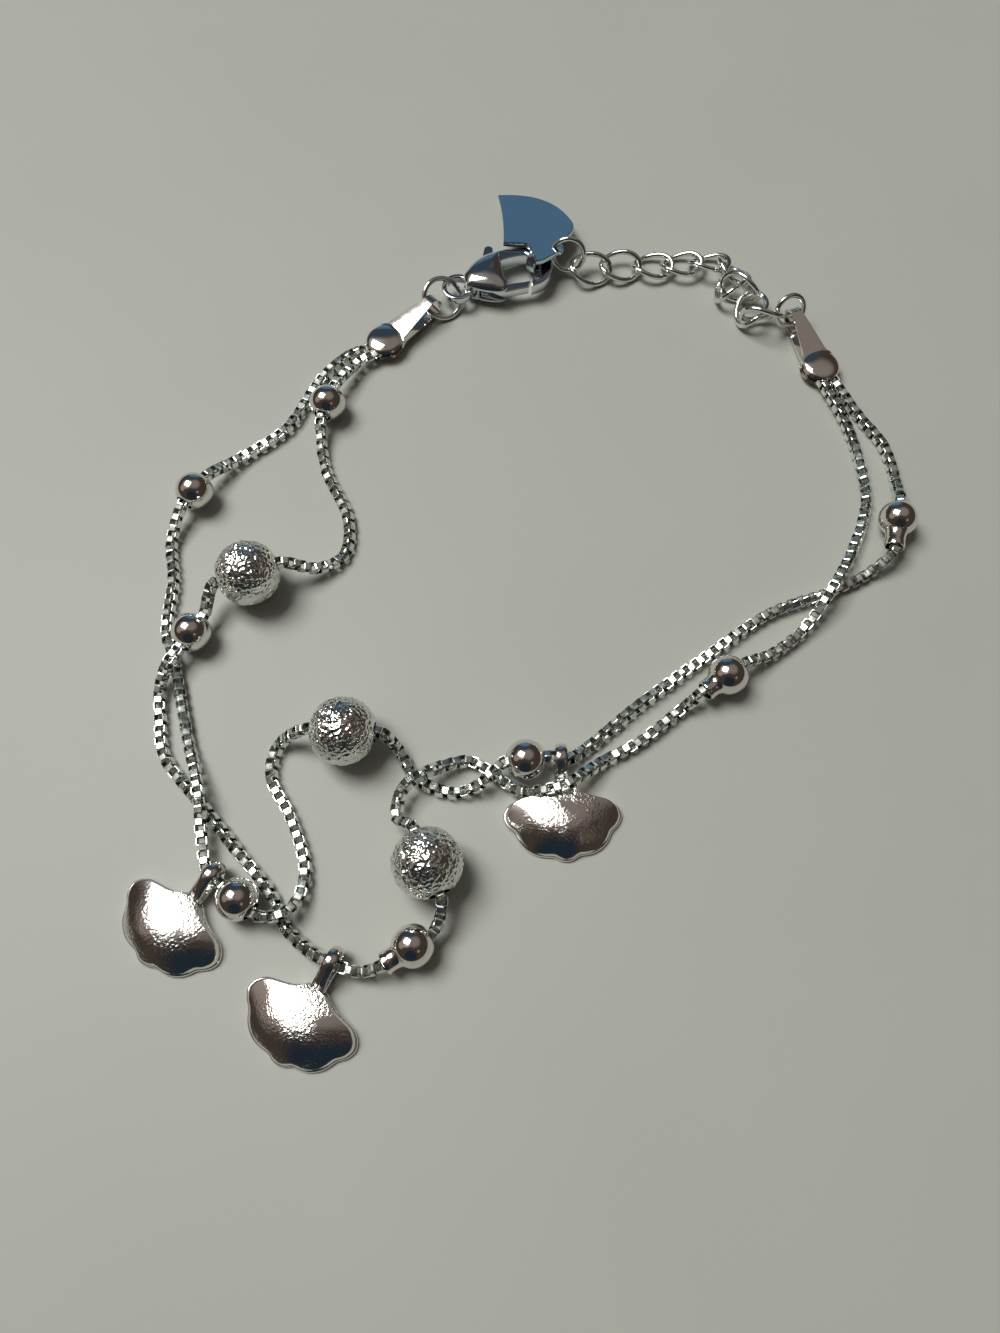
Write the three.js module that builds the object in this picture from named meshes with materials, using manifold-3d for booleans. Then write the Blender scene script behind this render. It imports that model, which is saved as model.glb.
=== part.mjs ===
// A two-strand chain bracelet with round beads, three ginkgo-leaf charms, folded end caps,
// a lobster clasp, a bare fin-shaped tag and an extender of curb links, lying closed on a surface.
// Millimetres, +Z up. The origin is the middle of the bracelet's box, on the surface it lies on.
import * as THREE from "three";
import { mergeVertices } from "three/addons/utils/BufferGeometryUtils.js";
import Module from "manifold-3d";

const wasm = await Module();
wasm.setup();

// ---- Driving dimensions ----

const CHAIN = { width: 0.88, corner: 0.2, steps: 80 };
const CHAIN_HALF = CHAIN.width / 2;
const LEAD = 0.3; // straight run of chain outside a bead's mouth

// A bead's shape: outer radius, bore radius, and the solder neck on its -Y side.
const BEADS = {
  smooth: { radius: 1.5, bore: 0.7, neck: 0, neckRadius: 0 },
  necked: { radius: 1.5, bore: 0.66, neck: 0.9, neckRadius: 0.82 },
  drop: { radius: 1.5, bore: 0.66, neck: 1.3, neckRadius: 0.82 },
  frosted: { radius: 2.5, bore: 0.75, neck: 0, neckRadius: 0 },
};
const BEAD_SIDES = 16;

const LEAF = {
  reach: 5.45, // pole to outer edge along the middle
  narrowing: 0.85, // how much shorter the reach is at the tips
  tipAngle: 75, // degrees from the middle to each tip
  scallop: 0.24,
  rim: 0.42, // height of the edge
  dome: 1.25, // height of the middle
  domeCentre: 2.9, // pole to the top of the dome
  neck: 0.62, // half width at the pole
};
// The outer edge's five lobes meet at these angles from the leaf's middle, in degrees.
const LOBE_EDGES = [-75, -46, -8, 13, 47, 75];
const BAIL = { length: 3.0, height: 2.25, rootHeight: 0.8, wall: 0.33, width: 1.05, rootIn: 0.5 };

const CAP = {
  seat: 1.12, // height of the loop's middle
  middle: 0.8, // height of the plates' middle
  loop: 0.78, // inner radius of the folded loop
  sheet: 0.27,
  gap: 0.3, // half the gap between the plates
  loopWidth: 0.46, // half width at the loop
  waist: 1.05, // half width before the round end
  round: 1.62, // radius of the round end
  roundAt: 5.1, // loop to the middle of the round end
  pinchAt: 3.0, // where the plates become level
  domeHeight: 0.78,
};
const CHAIN_ENDS_AT = 4.1; // loop to the chain ends inside a cap
const CHAIN_APART = 0.5; // each chain end from the cap's middle line

const CLASP = {
  middle: 1.3,
  bodyHalf: 1.3,
  slotHalf: 0.5,
  gateHalf: 0.4,
  armHalf: 0.58,
  eyeHalf: 0.36,
  eyeAt: [-2.55, -0.35],
  eyeOuter: 1.42,
  eyeInner: 0.98,
  pin: 0.34,
  pinBore: 0.46,
};
const TAG = {
  sheet: 0.42,
  slope: 14.4, // degrees, falling towards the tip
  ear: 0.85,
  earAt: [1.75, -0.5],
  hole: 0.47,
  bailAt: [0.3, 30.55, 1.3],
  bailHeading: -35,
  bailInner: 0.86,
  bailOuter: 1.22,
  bailWidth: 0.9,
};
const RING_WIRE = 0.45;
const LINK = { length: 4.0, width: 3.1, wire: 0.46, twist: 22 };

// ---- Where the pieces lie ----

// The layout's coordinates have the middle of the bracelet's box here.
const LAYOUT_MIDDLE = { x: 0.33, y: 0.99 };

// Chain routes: x, y, height of the chain's middle; a threaded row adds the bead and the
// heading in degrees that the chain has where it passes straight through the bead.
const ROUTE_A = [
  [-16.1, 20.4, 0.6],
  [-18.2, 18.2, CHAIN_HALF],
  [-19.6, 15.4, CHAIN_HALF],
  [-20.8, 13.1, CHAIN_HALF],
  [-24.5, 10.0, 0.6],
  [-27.55, 6.4, 1.5, "smooth", 239],
  [-29.1, 2.2, 0.6],
  [-28.6, -1.2, CHAIN_HALF],
  [-28.6, -5.6, CHAIN_HALF],
  [-27.8, -7.8, CHAIN_HALF],
  [-26.9, -11.0, CHAIN_HALF],
  [-25.9, -14.5, CHAIN_HALF],
  [-25.1, -16.6, 1.0],
  [-24.4, -18.9, 1.6],
  [-24.0, -21.4, 1.25],
  [-23.35, -24.05, 1.0],
  [-21.0, -26.0, 1.5, "smooth", -39],
  [-18.1, -27.1, 1.55],
  [-17.0, -26.0, 0.95],
  [-16.7, -23.6, CHAIN_HALF],
  [-18.0, -20.0, CHAIN_HALF],
  [-19.6, -17.0, CHAIN_HALF],
  [-19.2, -14.7, 0.6],
  [-14.3, -14.2, 2.5, "frosted", -3],
  [-10.3, -15.3, 0.7],
  [-9.2, -17.1, CHAIN_HALF],
  [-6.8, -18.2, CHAIN_HALF],
  [-5.2, -18.1, 0.7],
  [-3.7, -17.3, 1.55],
  [-1.15, -16.05, 1.5, "smooth", 8],
  [1.9, -15.85, 0.95],
  [3.5, -14.8, CHAIN_HALF],
  [7.2, -11.7, CHAIN_HALF],
  [13.2, -7.25, CHAIN_HALF],
  [18.0, -3.9, CHAIN_HALF],
  [22.8, -2.1, CHAIN_HALF],
  [25.8, -0.6, CHAIN_HALF],
  [28.6, 3.85, 1.5, "drop", 75],
  [29.3, 8.3, CHAIN_HALF],
  [28.8, 11.4, CHAIN_HALF],
  [27.4, 13.9, CHAIN_HALF],
  [26.1, 16.4, 0.6],
];
const ROUTE_B = [
  [-14.9, 19.7, 0.9],
  [-16.2, 17.9, 1.3],
  [-17.4, 14.9, 1.5, "smooth", 255],
  [-17.8, 11.6, 0.8],
  [-17.2, 8.8, CHAIN_HALF],
  [-15.2, 4.4, CHAIN_HALF],
  [-15.3, 1.2, CHAIN_HALF],
  [-17.2, -0.3, 1.0],
  [-22.3, -1.5, 2.5, "frosted", 200],
  [-26.4, -6.0, 1.5, "smooth", 240],
  [-27.85, -8.5, 1.5],
  [-28.45, -10.4, 0.7],
  [-28.2, -12.8, CHAIN_HALF],
  [-27.6, -15.4, CHAIN_HALF],
  [-24.8, -18.7, CHAIN_HALF],
  [-21.6, -22.4, CHAIN_HALF],
  [-19.1, -25.3, CHAIN_HALF],
  [-17.5, -28.0, CHAIN_HALF],
  [-14.6, -30.1, 1.0],
  [-12.4, -30.7, 0.9],
  [-8.9, -29.1, 1.5, "necked", 32],
  [-8.0, -23.7, 2.5, "frosted", 113],
  [-10.3, -20.2, 1.2],
  [-9.9, -18.2, 1.45],
  [-8.6, -17.2, 1.65],
  [-7.0, -16.4, 1.1],
  [-5.2, -15.9, CHAIN_HALF],
  [-3.2, -17.05, CHAIN_HALF],
  [-1.7, -18.1, 0.65],
  [0.2, -18.3, 1.55],
  [1.7, -18.0, 1.85],
  [3.0, -17.1, 1.4],
  [4.6, -15.9, 0.55],
  [7.1, -14.5, CHAIN_HALF],
  [10.4, -12.0, CHAIN_HALF],
  [14.0, -9.5, 1.5, "necked", 35],
  [17.7, -7.4, 0.6],
  [20.4, -5.3, 0.7],
  [22.6, -2.4, 1.6],
  [24.6, 0.8, 0.8],
  [26.6, 5.6, CHAIN_HALF],
  [26.65, 9.6, CHAIN_HALF],
  [25.8, 14.0, 0.6],
];

// End caps: the folded loop's x and y, and the heading of the chains in degrees.
const CAPS = {
  cap_left: { x: -9.15, y: 25.15, heading: 222 },
  cap_right: { x: 22.6, y: 23.85, heading: -70 },
};
// Leaf charms: the pole's x and y, and the heading of the leaf's middle in degrees.
const LEAVES = {
  leaf_1: { x: -24.15, y: -25.8, heading: 230 },
  leaf_2: { x: -15.2, y: -31.75, heading: 240.5 },
  leaf_3: { x: 1.45, y: -17.75, heading: 271 },
};
const CLASP_PLACE = { x: -4.31, y: 28.09, heading: 14 };
const TAG_PLACE = { x: 0, y: 31.1, z: 2.28 };
// Rings and links: centre, then the heading of the long axis, its dip and the roll about it,
// in degrees. A ring also has the mean radius of its wire.
const RINGS = [
  // name, x, y, z, heading, dip, roll, radius
  ["ring_left", -8.05, 26.15, 1.25, 34, 0, 37, 1.66],
  ["ring_tag", 3.05, 30.3, 2.05, -4, 0, 67, 1.4],
  ["ring_right", 22.1, 24.2, 1.9, 20, 0, 60, 1.3],
];
const LINKS = [
  // x, y, z, heading, dip, roll
  [5.1, 29.6, 1.1, 0, 10, 25],
  [7.8, 30.1, 0.9, 5, 5, 15],
  [10.7, 30.3, 0.7, 0, 0, -5],
  [13.3, 30.4, 0.8, 0, -5, -10],
  [15.7, 30.4, 1.0, -5, -5, -25],
  [17.7, 29.3, 1.1, -50, 0, -35],
  [17.3, 27.6, 1.2, -120, 0, 40],
  [18.1, 26.9, 1.6, 150, 0, -85],
  [19.0, 25.2, 1.0, -110, 5, 25],
  [19.7, 23.9, 1.8, -5, -5, -60],
];

// ---- Materials ----

const SILVER = new THREE.MeshStandardMaterial({ color: 0xdcdcdf, roughness: 0.12, metalness: 1 });
const FROST = new THREE.MeshStandardMaterial({ color: 0xe6e6e8, roughness: 0.5, metalness: 1 });
const STEEL_BLUE = new THREE.MeshStandardMaterial({
  color: 0xc4ccd6,
  roughness: 0.08,
  metalness: 1,
});

// ---- Helpers ----

const radians = THREE.MathUtils.degToRad;

/** A closed three.js geometry as a manifold solid. */
function toSolid(geometry) {
  const bare = geometry.clone();
  bare.deleteAttribute("normal");
  bare.deleteAttribute("uv");
  const merged = mergeVertices(bare, 1e-4);
  const vertProperties = new Float32Array(merged.attributes.position.array);
  const triVerts = new Uint32Array(merged.index.array);
  return new wasm.Manifold(new wasm.Mesh({ numProp: 3, vertProperties, triVerts }));
}

/** A manifold solid as a three.js geometry. */
function toGeometry(solid) {
  const mesh = solid.getMesh();
  const geometry = new THREE.BufferGeometry();
  geometry.setAttribute("position", new THREE.BufferAttribute(mesh.vertProperties, 3));
  geometry.setIndex(new THREE.BufferAttribute(mesh.triVerts, 1));
  geometry.computeVertexNormals();
  return geometry;
}

const join = (...geometries) => toGeometry(geometries.map(toSolid).reduce((a, b) => a.add(b)));
const cut = (geometry, ...tools) =>
  toGeometry(tools.map(toSolid).reduce((a, b) => a.subtract(b), toSolid(geometry)));
const common = (a, b) => toGeometry(toSolid(a).intersect(toSolid(b)));

/** A flat plate: the outline extruded from z = low to z = high, with its edges eased. */
function plate(shape, low, high, ease = 0, curveSegments = 10) {
  const geometry = new THREE.ExtrudeGeometry(shape, {
    depth: high - low - 2 * ease,
    curveSegments,
    bevelEnabled: ease > 0,
    bevelThickness: ease,
    bevelSize: ease,
    bevelOffset: -ease,
    bevelSegments: 1,
  });
  return geometry.translate(0, 0, low + ease);
}

function shapeOf(points) {
  return new THREE.Shape(points.map(([x, y]) => new THREE.Vector2(x, y)));
}

function addMesh(group, name, geometry, material) {
  const mesh = new THREE.Mesh(geometry, material);
  mesh.name = name;
  group.add(mesh);
  return mesh;
}

/** A group standing at a place on the surface and turned about the vertical. */
function groupAt({ x, y, z = 0, heading = 0 }) {
  const group = new THREE.Group();
  group.position.set(x, y, z);
  group.rotation.z = radians(heading);
  return group;
}

// ---- Chain strands ----

/** The middle line of a strand: a smooth curve that never sinks into the surface. */
class StrandCurve extends THREE.Curve {
  constructor(points) {
    super();
    this.arcLengthDivisions = 1200;
    this.spline = new THREE.CatmullRomCurve3(points, false, "centripetal");
  }
  getPoint(t, target = new THREE.Vector3()) {
    this.spline.getPoint(t, target);
    target.z = Math.max(target.z, CHAIN_HALF);
    return target;
  }
  /** Frames that keep the square section level, so the chain lies flat on the surface. */
  computeFrenetFrames(segments) {
    const tangents = [];
    const normals = [];
    const binormals = [];
    for (let i = 0; i <= segments; i++) {
      const tangent = this.getTangentAt(i / segments, new THREE.Vector3());
      const across = new THREE.Vector3(-tangent.y, tangent.x, 0).normalize();
      tangents.push(tangent);
      normals.push(across);
      binormals.push(new THREE.Vector3().crossVectors(tangent, across));
    }
    return { tangents, normals, binormals };
  }
}

/** Where a strand's end sits inside a cap; side is +1 on the cap's left and -1 on its right. */
function chainEnd(cap, side) {
  const along = new THREE.Vector3(Math.cos(radians(cap.heading)), Math.sin(radians(cap.heading)));
  const across = new THREE.Vector3(-along.y, along.x, 0);
  return new THREE.Vector3(cap.x, cap.y, CAP.middle)
    .addScaledVector(along, CHAIN_ENDS_AT)
    .addScaledVector(across, side * CHAIN_APART);
}

/** A point further along the cap, level with its chain end: the strand leaves the cap here. */
function capMouth(cap, side) {
  const away = new THREE.Vector3(Math.cos(radians(cap.heading)), Math.sin(radians(cap.heading)));
  return chainEnd(cap, side).addScaledVector(away, 2.3);
}

/** Half a bead's length: where its ball meets its bore. */
const ballReach = ({ radius, bore }) => Math.sqrt(radius * radius - bore * bore);

/** The route's rows as curve points; a threaded row becomes a straight run through its bead. */
function strandPoints(rows, startSide) {
  const points = [chainEnd(CAPS.cap_left, startSide), capMouth(CAPS.cap_left, startSide)];
  const threaded = [];
  rows.forEach(([x, y, z, kind, heading]) => {
    const centre = new THREE.Vector3(x, y, z);
    if (!kind) {
      points.push(centre);
      return;
    }
    const along = new THREE.Vector3(Math.cos(radians(heading)), Math.sin(radians(heading)));
    const reach = ballReach(BEADS[kind]) + LEAD;
    const offsets = [-reach - BEADS[kind].neck, -reach / 2, reach / 2, reach];
    offsets.forEach((d) => points.push(centre.clone().addScaledVector(along, d)));
    threaded.push({ kind, centre, along });
  });
  points.push(capMouth(CAPS.cap_right, -startSide), chainEnd(CAPS.cap_right, -startSide));
  return { points, threaded };
}

/** The chain's outer form: a square section with cut corners swept along its middle line. */
function strandGeometry(curve) {
  const h = CHAIN_HALF;
  const c = h - CHAIN.corner;
  const section = shapeOf([
    [h, c], [c, h], [-c, h], [-h, c], [-h, -c], [-c, -h], [c, -h], [h, -c],
  ]);
  return new THREE.ExtrudeGeometry(section, {
    steps: CHAIN.steps,
    extrudePath: curve,
    bevelEnabled: false,
  });
}

// ---- Beads ----

/** A drilled ball turned about Y, with a tapering neck towards -Y where it has one. */
function beadGeometry({ radius, bore, neck, neckRadius }) {
  const reach = ballReach({ radius, bore });
  const profile = [new THREE.Vector2(bore, -reach - neck)];
  const start = neck ? Math.asin(0.95 / radius) : Math.asin(bore / radius);
  const end = Math.PI - Math.asin(bore / radius);
  if (neck) profile.push(new THREE.Vector2(neckRadius, -reach - neck));
  const slices = 9;
  for (let i = 0; i <= slices; i++) {
    const angle = start + ((end - start) * i) / slices;
    const point = new THREE.Vector2(radius * Math.sin(angle), -radius * Math.cos(angle));
    if (i > 0 || neck) profile.push(point);
  }
  profile.push(profile[0].clone());
  return new THREE.LatheGeometry(profile, BEAD_SIDES);
}

function addBead(group, name, { kind, centre, along }) {
  const material = kind === "frosted" ? FROST : SILVER;
  const mesh = addMesh(group, name, beadGeometry(BEADS[kind]), material);
  mesh.position.copy(centre);
  mesh.rotation.z = Math.atan2(along.y, along.x) - Math.PI / 2;
}

// ---- Leaf charms ----

/** Distance from the pole to the scalloped outer edge, at an angle in degrees from the middle. */
function leafReach(angle) {
  const share = angle / LEAF.tipAngle;
  const plain = LEAF.reach - LEAF.narrowing * share * share;
  const i = Math.max(LOBE_EDGES.findIndex((edge) => angle <= edge), 1);
  const inLobe = (angle - LOBE_EDGES[i - 1]) / (LOBE_EDGES[i] - LOBE_EDGES[i - 1]);
  return plain - LEAF.scallop * (1 - Math.sin(Math.PI * inLobe) ** 0.7);
}

/** The leaf's outline, from one side of its neck round to the other; +X runs along its middle. */
function leafOutline() {
  const shoulder = (side) => {
    const tip = radians(LEAF.tipAngle);
    const reach = leafReach(LEAF.tipAngle);
    const curve = new THREE.CatmullRomCurve3([
      new THREE.Vector3(-0.2, side * LEAF.neck),
      new THREE.Vector3(0.45, side * 1.4),
      new THREE.Vector3(0.85, side * 2.7),
      new THREE.Vector3(reach * Math.cos(tip), side * reach * Math.sin(tip)),
    ]);
    return curve.getPoints(5).slice(0, -1);
  };
  const outer = [];
  for (let i = 0; i < LOBE_EDGES.length - 1; i++) {
    const parts = 6;
    for (let k = 0; k < parts; k++) {
      const angle = LOBE_EDGES[i] + ((LOBE_EDGES[i + 1] - LOBE_EDGES[i]) * k) / parts;
      const reach = leafReach(angle);
      outer.push(new THREE.Vector3(reach * Math.cos(radians(angle)), reach * Math.sin(radians(angle))));
    }
  }
  const reach = leafReach(LEAF.tipAngle);
  const tip = radians(LEAF.tipAngle);
  outer.push(new THREE.Vector3(reach * Math.cos(tip), reach * Math.sin(tip)));
  return [...shoulder(-1), ...outer, ...shoulder(1).reverse()];
}

/** The leaf's plate: its outline drawn in towards the top of the dome, ring by ring. */
function leafPlate() {
  const outline = leafOutline();
  const centre = new THREE.Vector3(LEAF.domeCentre, 0, 0);
  const rows = [
    // share of the outline, height
    [1, 0],
    [1, LEAF.rim],
    [0.93, LEAF.rim + 0.06],
    [0.8, LEAF.rim + 0.34],
    [0.6, LEAF.dome - 0.22],
    [0.32, LEAF.dome - 0.05],
  ];
  const rings = rows.map(([share, height]) =>
    outline.map((p) => centre.clone().lerp(p, share).setZ(height)),
  );
  const top = centre.clone().setZ(LEAF.dome);
  return loft(rings, centre, top);
}

/** A closed surface through rings of points of equal count, with a fan at each end. */
function loft(rings, bottom, top) {
  const count = rings[0].length;
  const points = [...rings.flat(), bottom, top];
  const bottomIndex = points.length - 2;
  const topIndex = points.length - 1;
  const faces = [];
  for (let i = 0; i < count; i++) {
    const next = (i + 1) % count;
    faces.push(bottomIndex, next, i);
    for (let r = 0; r + 1 < rings.length; r++) {
      const a = r * count;
      const b = a + count;
      faces.push(a + i, a + next, b + next, a + i, b + next, b + i);
    }
    const last = (rings.length - 1) * count;
    faces.push(topIndex, last + i, last + next);
  }
  const geometry = new THREE.BufferGeometry().setFromPoints(points);
  geometry.setIndex(faces);
  return geometry;
}

/** A bail standing over the chain: an eye whose front runs straight down to the leaf's neck. */
function bailGeometry({ length, height, rootHeight, wall, width, rootIn }) {
  const r = height / 2;
  const far = -(length - r);
  const toEye = Math.atan2(r - rootHeight, far);
  const front = toEye - Math.asin(r / Math.hypot(far, r - rootHeight));
  const shape = new THREE.Shape();
  shape.moveTo(rootIn, 0);
  shape.lineTo(rootIn, rootHeight);
  shape.lineTo(0, rootHeight);
  shape.absarc(far, r, r, front - Math.PI / 2, Math.PI * 1.5, false);
  shape.closePath();
  const hole = new THREE.Path();
  hole.absarc(far, r, r - wall, 0, 2 * Math.PI, true);
  shape.holes.push(hole);
  const band = new THREE.ExtrudeGeometry(shape, { depth: width, bevelEnabled: false, curveSegments: 8 });
  band.translate(0, 0, -width / 2);
  return band.rotateX(Math.PI / 2);
}

// ---- End caps ----

/** The folded strip seen from its side: two plates that run from a round loop. */
function foldProfile() {
  const { seat, middle, loop, sheet, gap, pinchAt } = CAP;
  const end = 7.2;
  const outer = loop + sheet;
  const shape = new THREE.Shape();
  shape.moveTo(end, middle + gap + sheet);
  shape.lineTo(pinchAt, middle + gap + sheet);
  shape.lineTo(0, seat + outer);
  shape.absarc(0, seat, outer, Math.PI / 2, Math.PI * 1.5, false);
  shape.lineTo(pinchAt, middle - gap - sheet);
  shape.lineTo(end, middle - gap - sheet);
  shape.lineTo(end, middle - gap);
  shape.lineTo(pinchAt, middle - gap);
  shape.lineTo(0, seat - loop);
  shape.absarc(0, seat, loop, Math.PI * 1.5, Math.PI / 2, true);
  shape.lineTo(pinchAt, middle + gap);
  shape.lineTo(end, middle + gap);
  shape.closePath();
  return shape;
}

/** The cap's outline from above: narrow at the loop, waisted, then round. */
function capOutline() {
  const { loopWidth, waist, round, roundAt } = CAP;
  const neck = Math.asin(waist / round);
  const shape = new THREE.Shape();
  shape.moveTo(-1.2, -loopWidth);
  shape.lineTo(0.2, -loopWidth);
  shape.lineTo(roundAt - round * Math.cos(neck), -waist);
  shape.absarc(roundAt, 0, round, Math.PI + neck, Math.PI - neck, false);
  shape.lineTo(0.2, loopWidth);
  shape.lineTo(-1.2, loopWidth);
  shape.closePath();
  return shape;
}

function capGeometry() {
  const strip = new THREE.ExtrudeGeometry(foldProfile(), { depth: 4, bevelEnabled: false, curveSegments: 12 });
  strip.translate(0, 0, -2).rotateX(Math.PI / 2);
  const folded = common(strip, plate(capOutline(), -1, 4, 0, 14));
  const dome = new THREE.SphereGeometry(CAP.round - 0.06, 18, 10);
  dome.rotateX(Math.PI / 2).scale(1, 1, CAP.domeHeight / (CAP.round - 0.06));
  dome.translate(CAP.roundAt, 0, CAP.middle);
  const channel = new THREE.BoxGeometry(4, 2 * CHAIN_APART + CHAIN.width + 0.16, CHAIN.width + 0.14);
  channel.translate(CHAIN_ENDS_AT - 0.12 + 2, 0, CAP.middle);
  const gap = new THREE.BoxGeometry(CAP.roundAt, 4, 2 * CAP.gap);
  gap.translate(CAP.roundAt / 2 + CAP.pinchAt - 1, 0, CAP.middle);
  return cut(join(folded, dome), channel, gap);
}

// ---- Clasp ----

/** The clasp seen from above, without its claw: the swelling body and its eye end. */
function claspBodyOutline() {
  const shape = new THREE.Shape();
  shape.moveTo(-1.9, -0.75);
  shape.quadraticCurveTo(-0.9, -1.6, 0.6, -2.1);
  shape.quadraticCurveTo(1.7, -2.3, 1.75, -1.3);
  shape.quadraticCurveTo(1.45, 0, 1.75, 1.2);
  shape.lineTo(1.9, 2.35);
  shape.quadraticCurveTo(-0.3, 2.5, -1.9, 0.35);
  shape.closePath();
  return shape;
}

function clawOutline() {
  const shape = new THREE.Shape();
  shape.moveTo(1.2, 2.3);
  shape.bezierCurveTo(3.2, 2.7, 5.0, 2.6, 5.9, 1.2);
  shape.bezierCurveTo(6.5, 0.1, 5.9, -1.3, 4.9, -1.85);
  shape.quadraticCurveTo(4.3, -2.1, 3.68, -2.1);
  shape.lineTo(4.02, -1.25);
  shape.bezierCurveTo(4.9, -1.0, 5.3, -0.1, 4.95, 0.7);
  shape.bezierCurveTo(4.4, 1.7, 3.0, 1.6, 1.2, 1.25);
  shape.closePath();
  return shape;
}

/** The room that the gate turns in: the middle layer, open to the mouth and to the thumb tab. */
function gateSlot() {
  const sector = (from, to, reach) => {
    const shape = new THREE.Shape();
    shape.moveTo(0, 0);
    shape.lineTo(reach * Math.cos(radians(from)), reach * Math.sin(radians(from)));
    shape.absarc(0, 0, reach, radians(from), radians(to), false);
    shape.closePath();
    return plate(shape, -CLASP.slotHalf, CLASP.slotHalf);
  };
  const hub = new THREE.CylinderGeometry(1.08, 1.08, 2 * CLASP.slotHalf, 20).rotateX(Math.PI / 2);
  return [hub, sector(-105, 14, 4), sector(45, 132, 4)];
}

function claspBodyGeometry() {
  const { bodyHalf, armHalf, eyeHalf, eyeAt, eyeOuter, eyeInner, pin } = CLASP;
  const block = plate(claspBodyOutline(), -bodyHalf + 0.1, bodyHalf - 0.35, 0.25, 8);
  const swell = new THREE.SphereGeometry(1, 20, 10).rotateX(Math.PI / 2);
  swell.scale(1.75, 1.9, bodyHalf).translate(0.1, 0.1, 0);
  const claw = plate(clawOutline(), -armHalf, armHalf, 0.1, 5);
  const eye = new THREE.Shape();
  eye.absarc(eyeAt[0], eyeAt[1], eyeOuter, 0, 2 * Math.PI, false);
  const hole = new THREE.Path();
  hole.absarc(eyeAt[0], eyeAt[1], eyeInner, 0, 2 * Math.PI, true);
  eye.holes.push(hole);
  const eyeBand = plate(eye, -eyeHalf, eyeHalf, 0.1, 10);
  const eyeRoom = new THREE.CylinderGeometry(eyeInner, eyeInner, 4, 20).rotateX(Math.PI / 2);
  eyeRoom.translate(eyeAt[0], eyeAt[1], 0);
  const hollow = cut(join(block, swell, claw, eyeBand), eyeRoom, ...gateSlot());
  const pinRod = new THREE.CylinderGeometry(pin, pin, 2 * CLASP.slotHalf + 0.4, 12);
  return join(hollow, pinRod.rotateX(Math.PI / 2));
}

/** The sprung lever: a hub on the pin, an arm that shuts the claw, and a thumb tab. */
function gateGeometry() {
  const shape = new THREE.Shape();
  shape.absarc(0, 0, 0.9, radians(112), radians(250), false);
  shape.quadraticCurveTo(0.5, -2.0, 1.6, -2.02);
  shape.lineTo(3.42, -2.02);
  shape.lineTo(3.78, -1.32);
  shape.lineTo(1.7, -1.2);
  shape.quadraticCurveTo(0.95, -0.95, 0.9, 0);
  shape.absarc(0, 0, 0.9, 0, radians(47), false);
  shape.absarc(1.04, 3.02, 0.4, radians(-20), radians(160), false);
  shape.closePath();
  const lever = plate(shape, -CLASP.gateHalf, CLASP.gateHalf, 0, 6);
  const bore = new THREE.CylinderGeometry(CLASP.pinBore, CLASP.pinBore, 2, 14).rotateX(Math.PI / 2);
  return cut(lever, bore);
}

// ---- Tag ----

/** The fin-shaped plate with its ear; +Y runs towards the tip, down the plate's slope. */
function tagOutline() {
  const [earX, earY] = TAG.earAt;
  const shape = new THREE.Shape();
  shape.moveTo(0.15, -2.7);
  shape.lineTo(-0.3, -0.6);
  shape.quadraticCurveTo(-0.45, 0.0, -0.9, 0.1);
  shape.lineTo(-2.7, 0.15);
  shape.quadraticCurveTo(-2.6, 4.6, -3.2, 8.1);
  shape.quadraticCurveTo(1.6, 8.6, 3.35, 4.1);
  shape.quadraticCurveTo(4.1, 2.5, 2.9, 1.05);
  shape.absarc(earX, earY, TAG.ear, radians(60), radians(-70), true);
  shape.lineTo(0.75, -2.5);
  shape.closePath();
  return shape;
}

/** The tag cast in one with the ring that holds the claw. */
function tagGeometry() {
  const { sheet, slope, hole, earAt, bailAt, bailHeading, bailInner, bailOuter, bailWidth } = TAG;
  const fin = plate(tagOutline(), -sheet / 2, sheet / 2, 0, 10);
  const bore = new THREE.CylinderGeometry(hole, hole, 2, 16).rotateX(Math.PI / 2);
  bore.translate(earAt[0], earAt[1], 0);
  const drilled = cut(fin, bore).rotateX(radians(-slope));
  const ring = new THREE.Shape();
  ring.absarc(0, 0, bailOuter, 0, 2 * Math.PI, false);
  const inside = new THREE.Path();
  inside.absarc(0, 0, bailInner, 0, 2 * Math.PI, true);
  ring.holes.push(inside);
  const band = plate(ring, -bailWidth / 2, bailWidth / 2, 0, 10);
  band.rotateY(Math.PI / 2).rotateZ(radians(bailHeading));
  band.translate(bailAt[0] - TAG_PLACE.x, bailAt[1] - TAG_PLACE.y, bailAt[2] - TAG_PLACE.z);
  return join(drilled, band);
}

// ---- Rings and links ----

const ringGeometry = (radius) => new THREE.TorusGeometry(radius, RING_WIRE / 2, 6, 16);

/** A curb link: a round ring of wire drawn into an oval and twisted about its long axis. */
function linkGeometry() {
  const { length, width, wire, twist } = LINK;
  const a = (length - wire) / 2;
  const b = (width - wire) / 2;
  const geometry = new THREE.TorusGeometry(1, wire / 2, 6, 14);
  const position = geometry.attributes.position;
  for (let i = 0; i < position.count; i++) {
    const x = position.getX(i);
    const y = position.getY(i);
    const angle = Math.atan2(y, x);
    const out = Math.hypot(x, y) - 1;
    const normal = new THREE.Vector2(b * Math.cos(angle), a * Math.sin(angle)).normalize();
    const px = a * Math.cos(angle) + out * normal.x;
    const py = b * Math.sin(angle) + out * normal.y;
    const pz = position.getZ(i);
    const turn = radians(twist) * (px / a);
    position.setXYZ(
      i,
      px,
      py * Math.cos(turn) - pz * Math.sin(turn),
      py * Math.sin(turn) + pz * Math.cos(turn),
    );
  }
  return geometry;
}

function addTurned(group, name, geometry, [x, y, z, heading, dip, roll]) {
  const mesh = addMesh(group, name, geometry, SILVER);
  mesh.position.set(x, y, z);
  mesh.rotation.set(radians(roll), radians(dip), radians(heading), "ZYX");
}

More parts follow.
